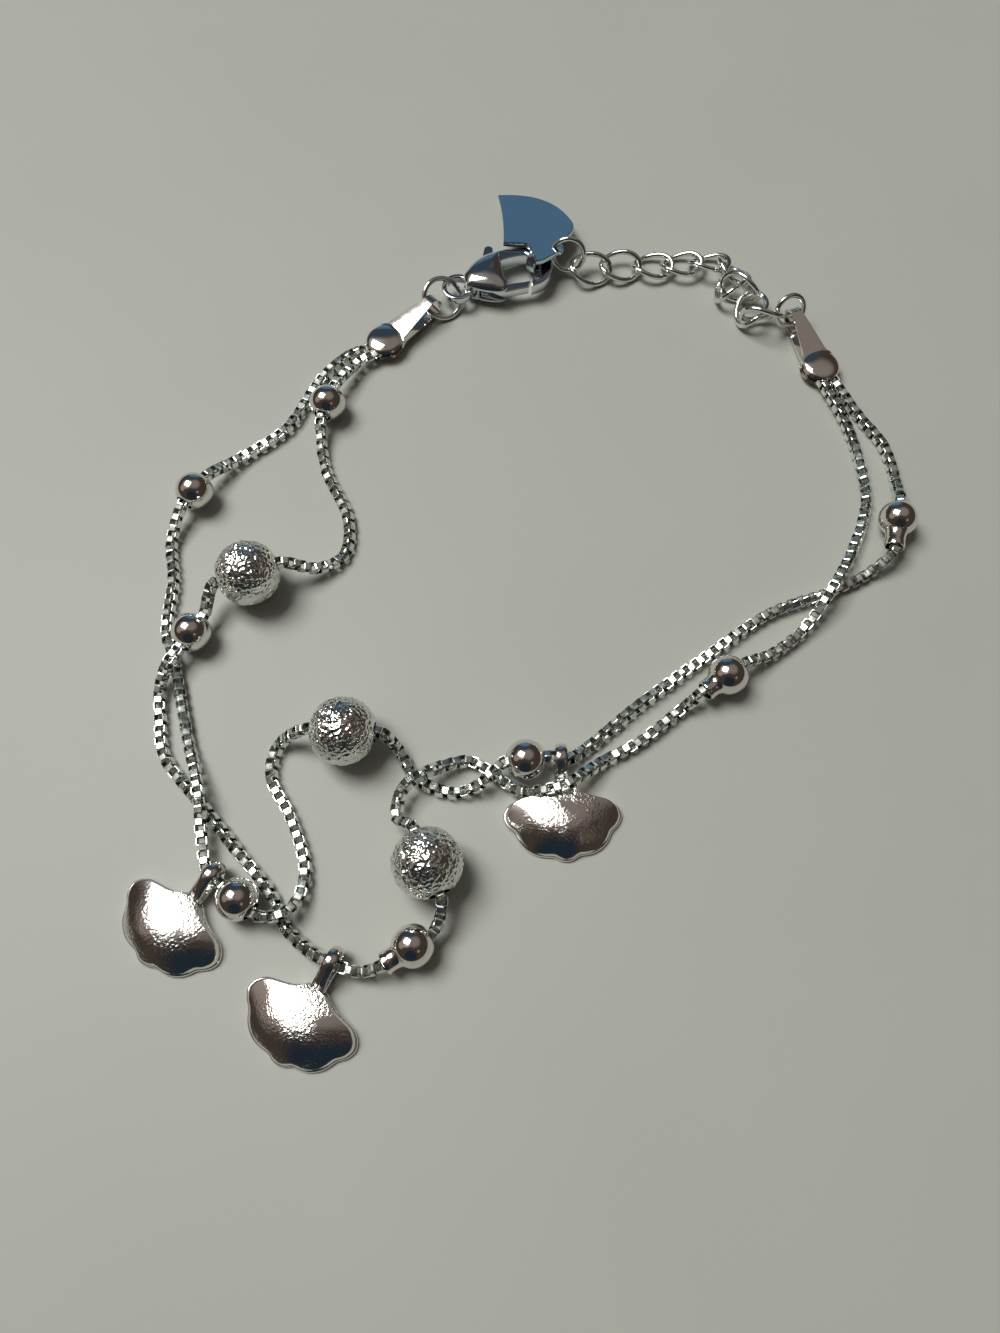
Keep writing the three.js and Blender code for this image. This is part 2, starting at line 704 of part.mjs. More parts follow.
// ---- The bracelet ----

function addStrands(group) {
  const strands = [
    { name: "strand_a", rows: ROUTE_A, side: -1 },
    { name: "strand_b", rows: ROUTE_B, side: 1 },
  ];
  let smooth = 0;
  let frosted = 0;
  strands.forEach(({ name, rows, side }) => {
    const { points, threaded } = strandPoints(rows, side);
    addMesh(group, name, strandGeometry(new StrandCurve(points)), SILVER);
    threaded.forEach((bead) => {
      const beadName =
        bead.kind === "frosted" ? `frosted_bead_${++frosted}` : `smooth_bead_${++smooth}`;
      addBead(group, beadName, bead);
    });
  });
}

function addLeaves(group) {
  const geometry = join(leafPlate(), bailGeometry(BAIL));
  Object.entries(LEAVES).forEach(([name, place]) => {
    const at = groupAt(place);
    addMesh(at, name, geometry, SILVER);
    group.add(at);
  });
}

function addCaps(group) {
  const geometry = capGeometry();
  Object.entries(CAPS).forEach(([name, place]) => {
    const at = groupAt(place);
    addMesh(at, name, geometry, SILVER);
    group.add(at);
  });
}

function addClasp(group) {
  const at = groupAt({ ...CLASP_PLACE, z: CLASP.middle });
  addMesh(at, "clasp_body", claspBodyGeometry(), STEEL_BLUE);
  addMesh(at, "clasp_gate", gateGeometry(), SILVER);
  group.add(at);
}

function addTag(group) {
  const at = groupAt(TAG_PLACE);
  addMesh(at, "tag", tagGeometry(), STEEL_BLUE);
  group.add(at);
}

function addRingsAndLinks(group) {
  RINGS.forEach(([name, ...row]) => {
    const radius = row.pop();
    addTurned(group, name, ringGeometry(radius), row);
  });
  LINKS.forEach((row, i) => addTurned(group, `link_${i + 1}`, linkGeometry(), row));
}

const bracelet = new THREE.Group();
bracelet.position.set(-LAYOUT_MIDDLE.x, -LAYOUT_MIDDLE.y, 0);
addStrands(bracelet);
addLeaves(bracelet);
addCaps(bracelet);
addClasp(bracelet);
addTag(bracelet);
addRingsAndLinks(bracelet);

export default bracelet;
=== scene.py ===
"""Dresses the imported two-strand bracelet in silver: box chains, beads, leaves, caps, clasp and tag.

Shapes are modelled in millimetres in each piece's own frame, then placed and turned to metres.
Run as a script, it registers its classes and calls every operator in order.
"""

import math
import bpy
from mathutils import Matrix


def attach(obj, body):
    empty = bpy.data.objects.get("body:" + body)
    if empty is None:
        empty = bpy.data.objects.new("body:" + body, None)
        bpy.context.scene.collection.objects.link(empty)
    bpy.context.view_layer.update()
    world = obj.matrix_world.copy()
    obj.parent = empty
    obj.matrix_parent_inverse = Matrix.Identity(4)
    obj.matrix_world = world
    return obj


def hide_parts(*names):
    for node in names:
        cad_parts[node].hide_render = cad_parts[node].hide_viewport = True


bl_info = {
    "name": "Ginkgo Charm Bracelet",
    "version": (1, 0, 0),
    "blender": (4, 5, 0),
    "location": "3D View > Sidebar > Bracelet",
    "description": "Builds the fine pieces, finishes and studio of a two-strand chain bracelet",
    "category": "Add Mesh",
}

import bmesh
import bpy
from bpy.props import FloatProperty, FloatVectorProperty, IntProperty, PointerProperty
from mathutils import Matrix, Vector, noise

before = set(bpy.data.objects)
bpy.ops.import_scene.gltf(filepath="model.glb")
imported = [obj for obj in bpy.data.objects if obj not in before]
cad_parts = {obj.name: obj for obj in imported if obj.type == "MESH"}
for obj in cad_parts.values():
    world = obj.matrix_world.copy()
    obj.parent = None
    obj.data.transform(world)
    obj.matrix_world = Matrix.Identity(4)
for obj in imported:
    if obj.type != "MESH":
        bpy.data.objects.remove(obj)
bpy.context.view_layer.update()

# ---- Sizes, in millimetres and degrees ----

MM = 0.001
LAYOUT_MIDDLE = Vector((0.33, 0.99, 0.0))  # the middle of the bracelet's box in the layout below
# Faces that meet at a wider angle are shaded with a crease.
SHARP = math.radians(38)
SHARP_LINK = math.radians(20)
HAIR = 0.001  # anything smaller is rounding
SAME_POINT = 0.01  # closer points of an outline are one point
FLAT_BORDER = 0.02  # border round a flat face
CLEAR = 0.005  # gap between the chain and the board
BODY = "bracelet"
GATE = "gate"

LOW = 0.44  # height of a chain's middle where it lies on the board
LINK_CORNER = 0.13
LINE_DETAIL = 24  # parts of each span of a chain's line
# How a strand's links roll and tip, as waves of noise: step from link to link, strength, row.
ROLL_WAVES = ((0.06, 2.2, 0.0), (3.7, 1.1, 5.0))
TIP_WAVES = ((0.11, 1.4, 9.0), (2.3, 1.4, 3.0))
# How the links have settled on the board: their mean lean towards x and y.
SETTLED = (-13.0, 2.0)
# The strip's section: how far in from its crown, in gauges, and how far across, in half widths.
LINK_STRIP = (
    (1.0, -1.0),
    (0.4, -1.0),
    (0.05, -0.8),
    (0.0, 0.0),
    (0.05, 0.8),
    (0.4, 1.0),
    (1.0, 1.0),
)
LEAD = 0.3  # straight run of chain outside a bead's mouth
CAP_MOUTH = 2.3  # straight run of chain from its end inside a cap
BEADS = {
    "smooth": {"radius": 1.5, "bore": 0.7, "neck": 0.0},
    "necked": {"radius": 1.5, "bore": 0.66, "neck": 0.9},
    "drop": {"radius": 1.5, "bore": 0.66, "neck": 1.3},
    "frosted": {"radius": 2.5, "bore": 0.75, "neck": 0.0},
}
LIP = 0.05  # width of the flat lip round a bead's bore
COLLAR = 0.95  # radius of a ball's mouth where a soldered neck leaves it
# share of the neck's length, radius
NECK = ((0.08, 0.86), (0.3, 0.79), (0.65, 0.78), (0.9, 0.82), (1.0, 0.78))
# The waves of a frosted skin: how many to a facet, and how strong.
FROST_WAVES = ((1.7, 0.9), (4.3, 0.3))
FROST_FACETS = 0.9  # how strong the facets are
FROST_MEAN = 0.5  # what is taken off them all
FROST_SUNK = 0.45  # how deep the plain ball lies under its skin, in depths of the skin
FROST_FADE = 0.15  # the skin fades out over this height by a mouth
FROST_APART = (7.3, 3.1, 5.7)  # from one bead's skin to the next in the noise

LEAF = {
    "reach": 5.45,  # from the pole in the neck to the middle of the fan's edge
    "narrowing": 0.85,  # how much shorter that is at the fan's tips
    "tip_angle": 75.0,
    "scallop": 0.34,  # depth of the notches between lobes
    "scallop_power": 0.7,
    "middle": 2.7,  # where the rings draw in to
    "crest_at": 2.0,  # the dome falls towards the neck from here
    "dome": 1.6,
    "front": 2.8,  # width of the band along the fan's edge that rolls over
    "round_front": 2.9,
    "round_back": 8.0,
    "round_across": 13.5,
    "blend": 0.06,  # how softly the dome meets the rim
    "rim": 0.33,
    "lobe_parts": 14,
    "rubs": 3,
    "tip_rubs": 26,
    "tip_round": 1.1,  # the tips are rubbed rounder within this distance
}
LOBE_EDGES = (-75, -46, -8, 13, 47, 75)  # where the fan's lobes meet
LEAF_SHOULDER = ((-0.2, 0.62), (0.45, 1.4), (0.85, 2.7))  # the edge from the neck out to the fan
# Where the mould's skin shows: its middle and reach, and how strong and patchy it is.
PITS = {
    "at": (1.9, 0.4, 1.0),
    "reach": 4.0,
    "least": 0.05,
    "mean": 1.1,
    "patchiness": 1.6,
    "patch_count": 0.9,
    "apart": 4.0,  # from one leaf to the next in the noise
}
# The leaf's rings from its back and over its rim: share of the outline, how far the surface has
# risen from the rim to the dome, height of the rim.
LEAF_RIM = (
    (0.99, 0.0, 0.0),
    (1.0, 0.0, 0.05),
    (1.0, 0.0, 0.14),
    (0.996, 0.0, 0.2),
    (0.989, 0.0, 0.26),
    (0.981, 0.0, 0.3),
    (0.972, 0.0, 0.325),
    (0.964, 0.0, 0.33),
    (0.956, 0.3, 0.33),
    (0.946, 0.65, 0.33),
    (0.936, 0.88, 0.33),
    (0.926, 0.97, 0.33),
    (0.915, 1.0, 0.33),
)
# Shares of the outline of the rings that lie on the dome.
LEAF_DOME = (0.9, 0.87, 0.83, 0.78, 0.72, 0.65, 0.58, 0.5, 0.42, 0.34, 0.26, 0.18, 0.1, 0.03)
BAIL = {
    "length": 3.0,  # from the pole to its far end
    "height": 2.25,
    "wall": 0.33,
    "width": 1.05,
    "root_at": 0.75,
    "root_height": 0.52,
    "root_drop": 0.2,  # how much lower its returning leg ends
    "waist": 0.86,  # its width away from the root, as a share
    "swell": 0.22,  # what the root adds to that share
    "swell_reach": 1.6,
    "turn_parts": 40,
    "leg_parts": 6,
}
# The bail's section in walls outwards and half widths across: a flat inside and a crowned outside.
BAIL_FLAT = ((-0.5, -0.9), (-0.5, 0.9), (-0.3, 1.0))
BAIL_CROWN = (1.25, 0.8, 0.4, 0.0, -0.4, -0.8, -1.25)  # angles round the crown, in radians
BAIL_LAST = (-0.3, -1.0)

CAP = {
    "seat": 1.12,  # height of the loop's centre
    "middle": 0.8,  # height of the chain ends between the shells
    "loop": 0.78,  # the loop's outer face lies a sheet outside this
    "sheet": 0.27,
    "wall": 0.216,  # thickness of the strip under its outer face
    "loop_width": 0.46,  # half the strip's width in the loop
    "waist": 1.05,  # half its width where it meets the round end
    "round": 1.62,
    "round_at": 5.1,
    "plate_end": 0.38,  # from the middle to the plate at the round end
    "crown": 10.0,  # radius of the plate's crown
    "gap": 0.3,  # from the middle to a dome's rim
    "dome_height": 0.78,
    "plate_parts": 56,
    "loop_parts": 20,
    "columns": 16,
}
CHAIN_ENDS_AT = 4.1  # from a cap's loop to the chain ends inside it
CHAIN_APART = 0.5  # from a cap's middle line to each chain end

CLASP = {
    "middle": 1.3,  # height of its middle above the board
    "body_half": 1.3,
    "slot_half": 0.5,
    "gate_half": 0.4,
    "arm_half": 0.58,
    "eye_half": 0.36,
    "eye_at": (-2.55, -0.35),
    "eye_outer": 1.42,
    "eye_inner": 0.98,
    "crown_at": (0.1, 0.05, 0.0),
    "hub": 0.9,  # radius of the lever round its pin
    "hub_from": 112,
    "sunk": 0.05,  # how far the bridge reaches into both halves
    "ease": 0.12,
    "gate_ease": 0.09,
    "bridge_ease": 0.02,
}
# The clasp's swelling half: share of the outline, share of the height above the slot.
CLASP_SHELL = (
    (0.97, 0.0),
    (1.0, 0.04),
    (1.0, 0.16),
    (0.985, 0.26),
    (0.94, 0.4),
    (0.87, 0.54),
    (0.78, 0.67),
    (0.67, 0.79),
    (0.55, 0.87),
    (0.42, 0.93),
    (0.28, 0.97),
    (0.14, 0.99),
    (0.05, 1.0),
)
TAG = {
    "sheet": 0.42,
    "ease": 0.07,
    "slope": 14.4,  # the plate's far end leans down to the board
    "ear": 0.85,
    "ear_at": (1.75, -0.5),
    "bail_at": (0.3, 30.55, 1.3),
    "bail_heading": -35.0,
    "bail_inner": 0.86,
    "bail_outer": 1.22,
    "bail_width": 0.9,
    "bail_ease": 0.12,
}
RING_WIRE = 0.45
LINK = {"length": 4.0, "width": 3.1, "wire": 0.46, "twist": 22.0}

# ---- Where the pieces lie ----

# Chain routes: x, y, height of the chain's middle; a threaded row adds its bead and the
# heading that the chain has where it passes straight through the bead.
ROUTE_A = (
    (-16.1, 20.4, 0.6),
    (-18.2, 18.2, LOW),
    (-19.6, 15.4, LOW),
    (-20.8, 13.1, LOW),
    (-24.5, 10.0, 0.6),
    (-27.55, 6.4, 1.5, "smooth", 239),
    (-29.1, 2.2, 0.6),
    (-28.6, -1.2, LOW),
    (-28.6, -5.6, LOW),
    (-27.8, -7.8, LOW),
    (-26.9, -11.0, LOW),
    (-25.9, -14.5, LOW),
    (-25.1, -16.6, 1.0),
    (-24.4, -18.9, 1.6),
    (-24.0, -21.4, 1.25),
    (-23.35, -24.05, 1.0),
    (-21.0, -26.0, 1.5, "smooth", -39),
    (-18.1, -27.1, 1.55),
    (-17.0, -26.0, 0.95),
    (-16.7, -23.6, LOW),
    (-18.0, -20.0, LOW),
    (-19.6, -17.0, LOW),
    (-19.2, -14.7, 0.6),
    (-14.3, -14.2, 2.5, "frosted", -3),
    (-10.3, -15.3, 0.7),
    (-9.2, -17.1, LOW),
    (-6.8, -18.2, LOW),
    (-5.2, -18.1, 0.7),
    (-3.7, -17.3, 1.55),
    (-1.15, -16.05, 1.5, "smooth", 8),
    (1.9, -15.85, 0.95),
    (3.5, -14.8, LOW),
    (7.2, -11.7, LOW),
    (13.2, -7.25, LOW),
    (18.0, -3.9, LOW),
    (22.8, -2.1, LOW),
    (25.8, -0.6, LOW),
    (28.6, 3.85, 1.5, "drop", 75),
    (29.3, 8.3, LOW),
    (28.8, 11.4, LOW),
    (27.4, 13.9, LOW),
    (26.1, 16.4, 0.6),
)
ROUTE_B = (
    (-14.9, 19.7, 0.9),
    (-16.2, 17.9, 1.3),
    (-17.4, 14.9, 1.5, "smooth", 255),
    (-17.8, 11.6, 0.8),
    (-17.2, 8.8, LOW),
    (-15.2, 4.4, LOW),
    (-15.3, 1.2, LOW),
    (-17.2, -0.3, 1.0),
    (-22.3, -1.5, 2.5, "frosted", 200),
    (-26.4, -6.0, 1.5, "smooth", 240),
    (-27.85, -8.5, 1.5),
    (-28.45, -10.4, 0.7),
    (-28.2, -12.8, LOW),
    (-27.6, -15.4, LOW),
    (-24.8, -18.7, LOW),
    (-21.6, -22.4, LOW),
    (-19.1, -25.3, LOW),
    (-17.5, -28.0, LOW),
    (-14.6, -30.1, 1.0),
    (-12.4, -30.7, 0.9),
    (-8.9, -29.1, 1.5, "necked", 32),
    (-8.0, -23.7, 2.5, "frosted", 113),
    (-10.3, -20.2, 1.2),
    (-9.9, -18.2, 1.45),
    (-8.6, -17.2, 1.65),
    (-7.0, -16.4, 1.1),
    (-5.2, -15.9, LOW),
    (-3.2, -17.05, LOW),
    (-1.7, -18.1, 0.65),
    (0.2, -18.3, 1.55),
    (1.7, -18.0, 1.85),
    (3.0, -17.1, 1.4),
    (4.6, -15.9, 0.55),
    (7.1, -14.5, LOW),
    (10.4, -12.0, LOW),
    (14.0, -9.5, 1.5, "necked", 35),
    (17.7, -7.4, 0.6),
    (20.4, -5.3, 0.7),
    (22.6, -2.4, 1.6),
    (24.6, 0.8, 0.8),
    (26.6, 5.6, LOW),
    (26.65, 9.6, LOW),
    (25.8, 14.0, 0.6),
)
# name, x, y, heading of the chains
CAPS = (("cap_left", -9.15, 25.15, 222), ("cap_right", 22.6, 23.85, -70))
# name, the pole's x and y, heading of the leaf's middle
LEAVES = (
    ("leaf_1", -24.15, -25.8, 230),
    ("leaf_2", -15.2, -31.75, 240.5),
    ("leaf_3", 1.45, -17.75, 271),
)
CLASP_PLACE = (-4.31, 28.09, 14)
TAG_PLACE = (0.0, 31.1, 2.28)
# name, x, y, z, heading, dip, roll, radius
RINGS = (
    ("ring_left", -8.05, 26.15, 1.25, 34, 0, 37, 1.66),
    ("ring_tag", 3.05, 30.3, 2.05, -4, 0, 67, 1.4),
    ("ring_right", 22.1, 24.2, 1.9, 20, 0, 60, 1.3),
)
# x, y, z, heading, dip, roll
LINKS = (
    (5.1, 29.6, 1.1, 0, 10, 25),
    (7.8, 30.1, 0.9, 5, 5, 15),
    (10.7, 30.3, 0.7, 0, 0, -5),
    (13.3, 30.4, 0.8, 0, -5, -10),
    (15.7, 30.4, 1.0, -5, -5, -25),
    (17.7, 29.3, 1.1, -50, 0, -35),
    (17.3, 27.6, 1.2, -120, 0, 40),
    (18.1, 26.9, 1.6, 150, 0, -85),
    (19.0, 25.2, 1.0, -110, 5, 25),
    (19.7, 23.9, 1.8, -5, -5, -60),
)

# ---- Finishes ----

# The finish of each slot: name, the user's colour, the colour that stains it, roughness, size and
# depth of the marks that polishing or casting left, and the mesh's attribute that changes it.
METALS = {
    # Rhodium-plated brass, tumbled to a mirror: bright, with a faint warm cast.
    "polished_silver": ("rhodium_plate_tumbled", "silver", "#e2dcd6", 0.055, 0.5, 0.0008, None),
    # Silver-plated strip, folded and tumbled: bright outside, with painted shade on the inside of
    # each link.
    "chain": ("plated_strip_shaded_inside", "chain", "#eaefe9", 0.22, 0.35, 0.004, "inside"),
    # Silver plate over a skin struck by a diamond wheel: every facet catches light by itself.
    "frosted_silver": ("plated_diamond_struck", "frost", "#dcdcd7", 0.1, 0.12, 0.004, None),
    # Cast zinc under bright plate: smooth broad faces, pitted where the mould's skin shows.
    "cast_silver": ("plated_casting", "silver", "#e4dedb", 0.1, 0.2, 0.075, "pitting"),
    # Drawn wire, plated after bending: bright, with faint drawing marks.
    "wire_silver": ("plated_drawn_wire", "wire", "#dadbd6", 0.1, 0.25, 0.002, None),
    # Die-cast clasp under bright plate, a little cooler than the chain.
    "clasp_silver": ("plated_clasp_casting", "clasp", "#d6dade", 0.08, 0.6, 0.002, None),
    # Rolled sheet, plated to a mirror and tinted blue: a painted reflection of something blue near
    # it.
    "tag_mirror": ("rolled_sheet_painted_blue_reflection", "tag", "#c2cfdb", 0.07, 0.9, 0.0008, None),
}
INSIDE_SHADE = "#7b7a75"  # painted shade inside a link, where the strips hide each other from the light
CLOUD = 3.0  # size of the stain's clouds
GRAIN_RANGE = (0.3, 0.7)  # what the noise of the marks spans
GLOSS_RANGE = (0.7, 1.35)  # roughness where the marks are lowest and highest, as shares
# Sockets of a colour Mix node.
MIX_A = 6
MIX_B = 7
MIX_OUT = 2

# ---- The studio ----

# In metres; the lamp stands at an azimuth and tilt from straight up.
LAMP = {"toward": (147, 29), "distance": 1.7, "size": (0.77, 0.87), "colour": "#fdfffb"}
BOARD = {"half": 1.5, "drop": 0.00001}
# The board's paint: marks are in millimetres.
PAINT = {
    "stain": "#b2b3ac",
    "roughness": 0.55,
    "mottle": 22.0,
    "fibre": 1.2,
    "fibre_depth": 0.02,
    "fibre_strength": 0.35,
}
CAMERA_AT = (-3.33, -38.53, 72.62)  # in millimetres, like the sensor
SENSOR = 36.0
CLIP = (0.001, 10.0)  # in metres
# What the room shows in the metal, by azimuth and tilt from straight up. A patch is full up to so
# many degrees from its middle, and gone past the second number.
ROOM_COLOUR = "#3f3731"
ROOM_PATCHES = (
    # azimuth, tilt, colour, full, gone
    (147, 29, "#c0bdb8", 14, 34),
    (48, 20, "#7d756f", 12, 38),
    (100, 61, "#36424d", 18, 32),
    (92, 82, "#567489", 11, 24),
    (180, 54, "#93877e", 8, 22),
    (266, 60, "#202a33", 26, 31),
    (318, 50, "#8a8078", 3, 9),
)


def linear(hex_colour):
    """An sRGB hex colour as linear RGBA."""
    values = [int(hex_colour[i : i + 2], 16) / 255 for i in (1, 3, 5)]
    channels = [v / 12.92 if v <= 0.04045 else ((v + 0.055) / 1.055) ** 2.4 for v in values]
    return (*channels, 1.0)


# ---- Settings a user would change ----


def length_setting(name, description, size):
    """A length that a user can change; its size is given in millimetres."""
    return FloatProperty(
        name=name, description=description, default=size * MM, min=0.0, precision=5, unit="LENGTH"
    )


def angle_setting(name, description, degrees):
    """An angle that a user can change; its size is given in degrees."""
    return FloatProperty(
        name=name, description=description, default=math.radians(degrees), subtype="ANGLE"
    )


def colour_setting(name, description, colour):
    """A colour that a user can change; it is given as sRGB hex."""
    return FloatVectorProperty(
        name=name,
        description=description,
        default=linear(colour)[:3],
        min=0.0,
        max=1.0,
        subtype="COLOR",
    )


class ChainSettings(bpy.types.PropertyGroup):
    """One folded link of the box chain, and how the links lie."""

    length: length_setting("Link length", "Outside, along the chain", 0.65)
    width: length_setting("Link width", "Outside, across the chain", 0.86)
    strip: length_setting("Strip width", "Width of the folded strip", 0.56)
    sheet: length_setting("Strip thickness", "Gauge of the strip", 0.1)
    pitch: length_setting("Pitch", "From one link to the next", 0.46)
    sway: angle_setting("Sway", "How far the chain rolls", 17)
    tip: angle_setting("Tip", "How far a link tips", 9)


class BeadSettings(bpy.types.PropertyGroup):
    """How finely the beads are turned and how rough the frosted ones are."""

    sides: IntProperty(name="Sides", description="Segments round a bead", default=56, min=12)
    rings: IntProperty(name="Rings", description="Segments from mouth to mouth", default=32, min=8)
    frost_depth: length_setting("Frost depth", "Depth of the struck skin", 0.085)
    frost_grain: length_setting("Frost grain", "Size of one struck facet", 0.42)


class FinishSettings(bpy.types.PropertyGroup):
    """Colours of the metals and of the board under them."""

    silver: colour_setting("Silver", "Bright plating on beads, caps and leaves", "#f1efec")
    chain: colour_setting("Chain", "Bright plating on the box chains", "#f1f6f2")
    frost: colour_setting("Frost", "Plating on the frosted beads", "#f2f3ef")
    wire: colour_setting("Wire", "Plating on the rings and links", "#eff1ed")
    clasp: colour_setting("Clasp", "Plating on the clasp", "#e8ebed")
    # The tag's blue tint is a painted reflection, not the plating's own colour.
    tag: colour_setting("Tag", "Cool plating on the tag", "#cdd8e3")
    board: colour_setting("Board", "Pale board that the bracelet lies on", "#b8b9b2")


class StudioSettings(bpy.types.PropertyGroup):
    """The camera and the light."""

    lens: FloatProperty(name="Lens", description="Focal length", default=27.71, unit="CAMERA")
    tilt: angle_setting("Tilt", "How far the camera leans from straight down", 22)
    key: FloatProperty(
        name="Lamp", description="How bright the lamp's face looks", default=11.3, min=0.0
    )


# ---- Helpers ----


def add_node(tree, kind, links=None, **settings):
    """Adds a node. Links gives its inputs sockets or plain values; settings are its attributes."""
    node = tree.nodes.new(kind)
    for key, value in settings.items():
        setattr(node, key, value)
    for socket, value in (links or {}).items():
        if isinstance(value, bpy.types.NodeSocket):
            tree.links.new(value, node.inputs[socket])
        else:
            node.inputs[socket].default_value = value
    return node


def polar(degrees, length=1.0):
    """A level vector of a heading and a length."""
    angle = math.radians(degrees)
    return Vector((length * math.cos(angle), length * math.sin(angle), 0.0))


def layout_place(x, y, z=0.0, heading=0.0, dip=0.0, roll=0.0):
    """The matrix that puts a piece at a place of the layout: turned, then dipped, then rolled."""
    turn = (
        Matrix.Rotation(math.radians(heading), 4, "Z")
        @ Matrix.Rotation(math.radians(dip), 4, "Y")
        @ Matrix.Rotation(math.radians(roll), 4, "X")
    )
    return Matrix.Translation(Vector((x, y, z)) - LAYOUT_MIDDLE) @ turn


def make_piece(name, bm, place, slot, replaces, body=BODY, sharp=SHARP):
    """Turns a bmesh in millimetres into a placed piece that replaces a CAD node."""
    bmesh.ops.transform(bm, matrix=Matrix.Scale(MM, 4) @ place, verts=bm.verts)
    mesh = bpy.data.meshes.new(name)
    bm.to_mesh(mesh)
    bm.free()
    mesh.shade_smooth()
    mesh.set_sharp_from_angle(angle=sharp)
    mesh.materials.append(metal(slot))
    piece = bpy.data.objects.new(name, mesh)
    bpy.context.scene.collection.objects.link(piece)
    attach(piece, body)
    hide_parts(replaces)


def join_into(bm, part, matrix=None):
    """Adds a finished bmesh to another one and frees it."""
    if matrix:
        bmesh.ops.transform(part, matrix=matrix, verts=part.verts)
    scratch = bpy.data.meshes.new("scratch")
    part.to_mesh(scratch)
    part.free()
    bm.from_mesh(scratch)
    bpy.data.meshes.remove(scratch)


def outline_points(start, steps, detail=12):
    """A flat outline as points: a start, then line, quad, cubic and arc steps."""
    points = [Vector((*start, 0.0))]
    for kind, *values in steps:
        if kind == "line":
            points.append(Vector((*values, 0.0)))
        elif kind == "arc":
            x, y, radius, first, last = values
            for i in range(detail + 1):
                angle = math.radians(first + (last - first) * i / detail)
                spot = (x + radius * math.cos(angle), y + radius * math.sin(angle), 0.0)
                points.append(Vector(spot))
        else:
            pairs = zip(values[::2], values[1::2])
            poles = [points[-1]] + [Vector((x, y, 0.0)) for x, y in pairs]
            for i in range(1, detail + 1):
                points.append(bezier(poles, i / detail))
    clean = [points[0]]
    for point in points[1:]:
        if min((point - clean[-1]).length, (point - points[0]).length) > SAME_POINT:
            clean.append(point)
    return clean


def bezier(poles, t):
    """A point of a Bezier curve, by repeated shares of its poles."""
    while len(poles) > 1:
        poles = [a.lerp(b, t) for a, b in zip(poles, poles[1:])]
    return poles[0]


def face_of(bm, points):
    """A face with a corner at each point."""
    return bm.faces.new([bm.verts.new(p) for p in points])


def prism(points, low, high, ease, segments=3):
    """A plate: the outline raised from low to high, with its rims rounded."""
    bm = bmesh.new()
    face = face_of(bm, [Vector((p.x, p.y, low)) for p in points])
    raised = bmesh.ops.extrude_face_region(bm, geom=[face])
    lifted = [g for g in raised["geom"] if isinstance(g, bmesh.types.BMVert)]
    bmesh.ops.translate(bm, vec=(0, 0, high - low), verts=lifted)
    bmesh.ops.recalc_face_normals(bm, faces=bm.faces)
    rims = [e for e in bm.edges if abs(e.verts[0].co.z - e.verts[1].co.z) < 1e-6]
    round_edges(bm, rims, ease, segments)
    keep_flat(bm)
    return bm


def keep_flat(bm):
    """Rings each many-sided face with a narrow border, so that its shading stays flat."""
    broad = [f for f in bm.faces if len(f.verts) > 8]
    bmesh.ops.inset_individual(bm, faces=broad, thickness=FLAT_BORDER, use_even_offset=True)


def round_edges(bm, edges, offset, segments):
    """Rounds edges over by an offset."""
    bmesh.ops.bevel(
        bm,
        geom=edges,
        offset=offset,
        offset_type="OFFSET",
        affect="EDGES",
        segments=segments,
        profile=0.5,
        material=-1,
        clamp_overlap=True,
    )


def extrude_loop(bm, edges):
    """Extrudes a loop of edges and returns the new edges and points."""
    made = bmesh.ops.extrude_edge_only(bm, edges=edges)["geom"]
    new_edges = [g for g in made if isinstance(g, bmesh.types.BMEdge)]
    new_points = [g for g in made if isinstance(g, bmesh.types.BMVert)]
    return new_edges, new_points


def next_ring(bm, edges, order):
    """Extrudes a ring and gives each new point the number of the point that it came from."""
    edges, points = extrude_loop(bm, edges)
    numbers = {}
    for point in points:
        source = next(e.other_vert(point) for e in point.link_edges if e.other_vert(point) in order)
        numbers[point] = order[source]
    return edges, numbers


def skin(rings):
    """A skin drawn through rings of as many points each, and the edges of its two ends."""
    bm = bmesh.new()
    circle = bmesh.ops.create_circle(bm, cap_ends=False, segments=len(rings[0]), radius=1.0)
    order = {vert: i for i, vert in enumerate(circle["verts"])}
    first = edges = bm.edges[:]
    for number, ring in enumerate(rings):
        if number:
            edges, order = next_ring(bm, edges, order)
        for vert, i in order.items():
            vert.co = ring[i]
    return bm, edges, first


def closed_skin(rings):
    """A skin through rings with both its ends filled."""
    bm, *ends = skin(rings)
    for edges in ends:
        bmesh.ops.edgeloop_fill(bm, edges=edges)
    bmesh.ops.recalc_face_normals(bm, faces=bm.faces)
    return bm


def spin_round(bm, sides):
    """Carries a standing section once round Z and closes it."""
    bmesh.ops.spin(
        bm,
        geom=bm.verts[:] + bm.edges[:],
        cent=(0, 0, 0),
        axis=(0, 0, 1),
        angle=2 * math.pi,
        steps=sides,
        use_merge=True,
    )
    bmesh.ops.recalc_face_normals(bm, faces=bm.faces)


def ring_of_wire(radius, wire, sides=64, around=14):
    """A closed ring of round wire, lying flat."""
    bm = bmesh.new()
    circle = bmesh.ops.create_circle(bm, cap_ends=False, segments=around, radius=wire / 2)
    stand = Matrix.Translation((radius, 0, 0)) @ Matrix.Rotation(math.pi / 2, 4, "X")
    bmesh.ops.transform(bm, matrix=stand, verts=circle["verts"])
    spin_round(bm, sides)
    return bm


# ---- Metals ----


def chosen(colour):
    """One of the user's colours, as a socket takes it."""
    return (*getattr(bpy.context.scene.bracelet_finish, colour), 1.0)


def start_material(name):
    """A new material with its tree, its shader and the object's own coordinates."""
    material = bpy.data.materials.new(name)
    material.use_nodes = True
    tree = material.node_tree
    place = add_node(tree, "ShaderNodeTexCoord").outputs["Object"]
    return material, tree, tree.nodes["Principled BSDF"], place


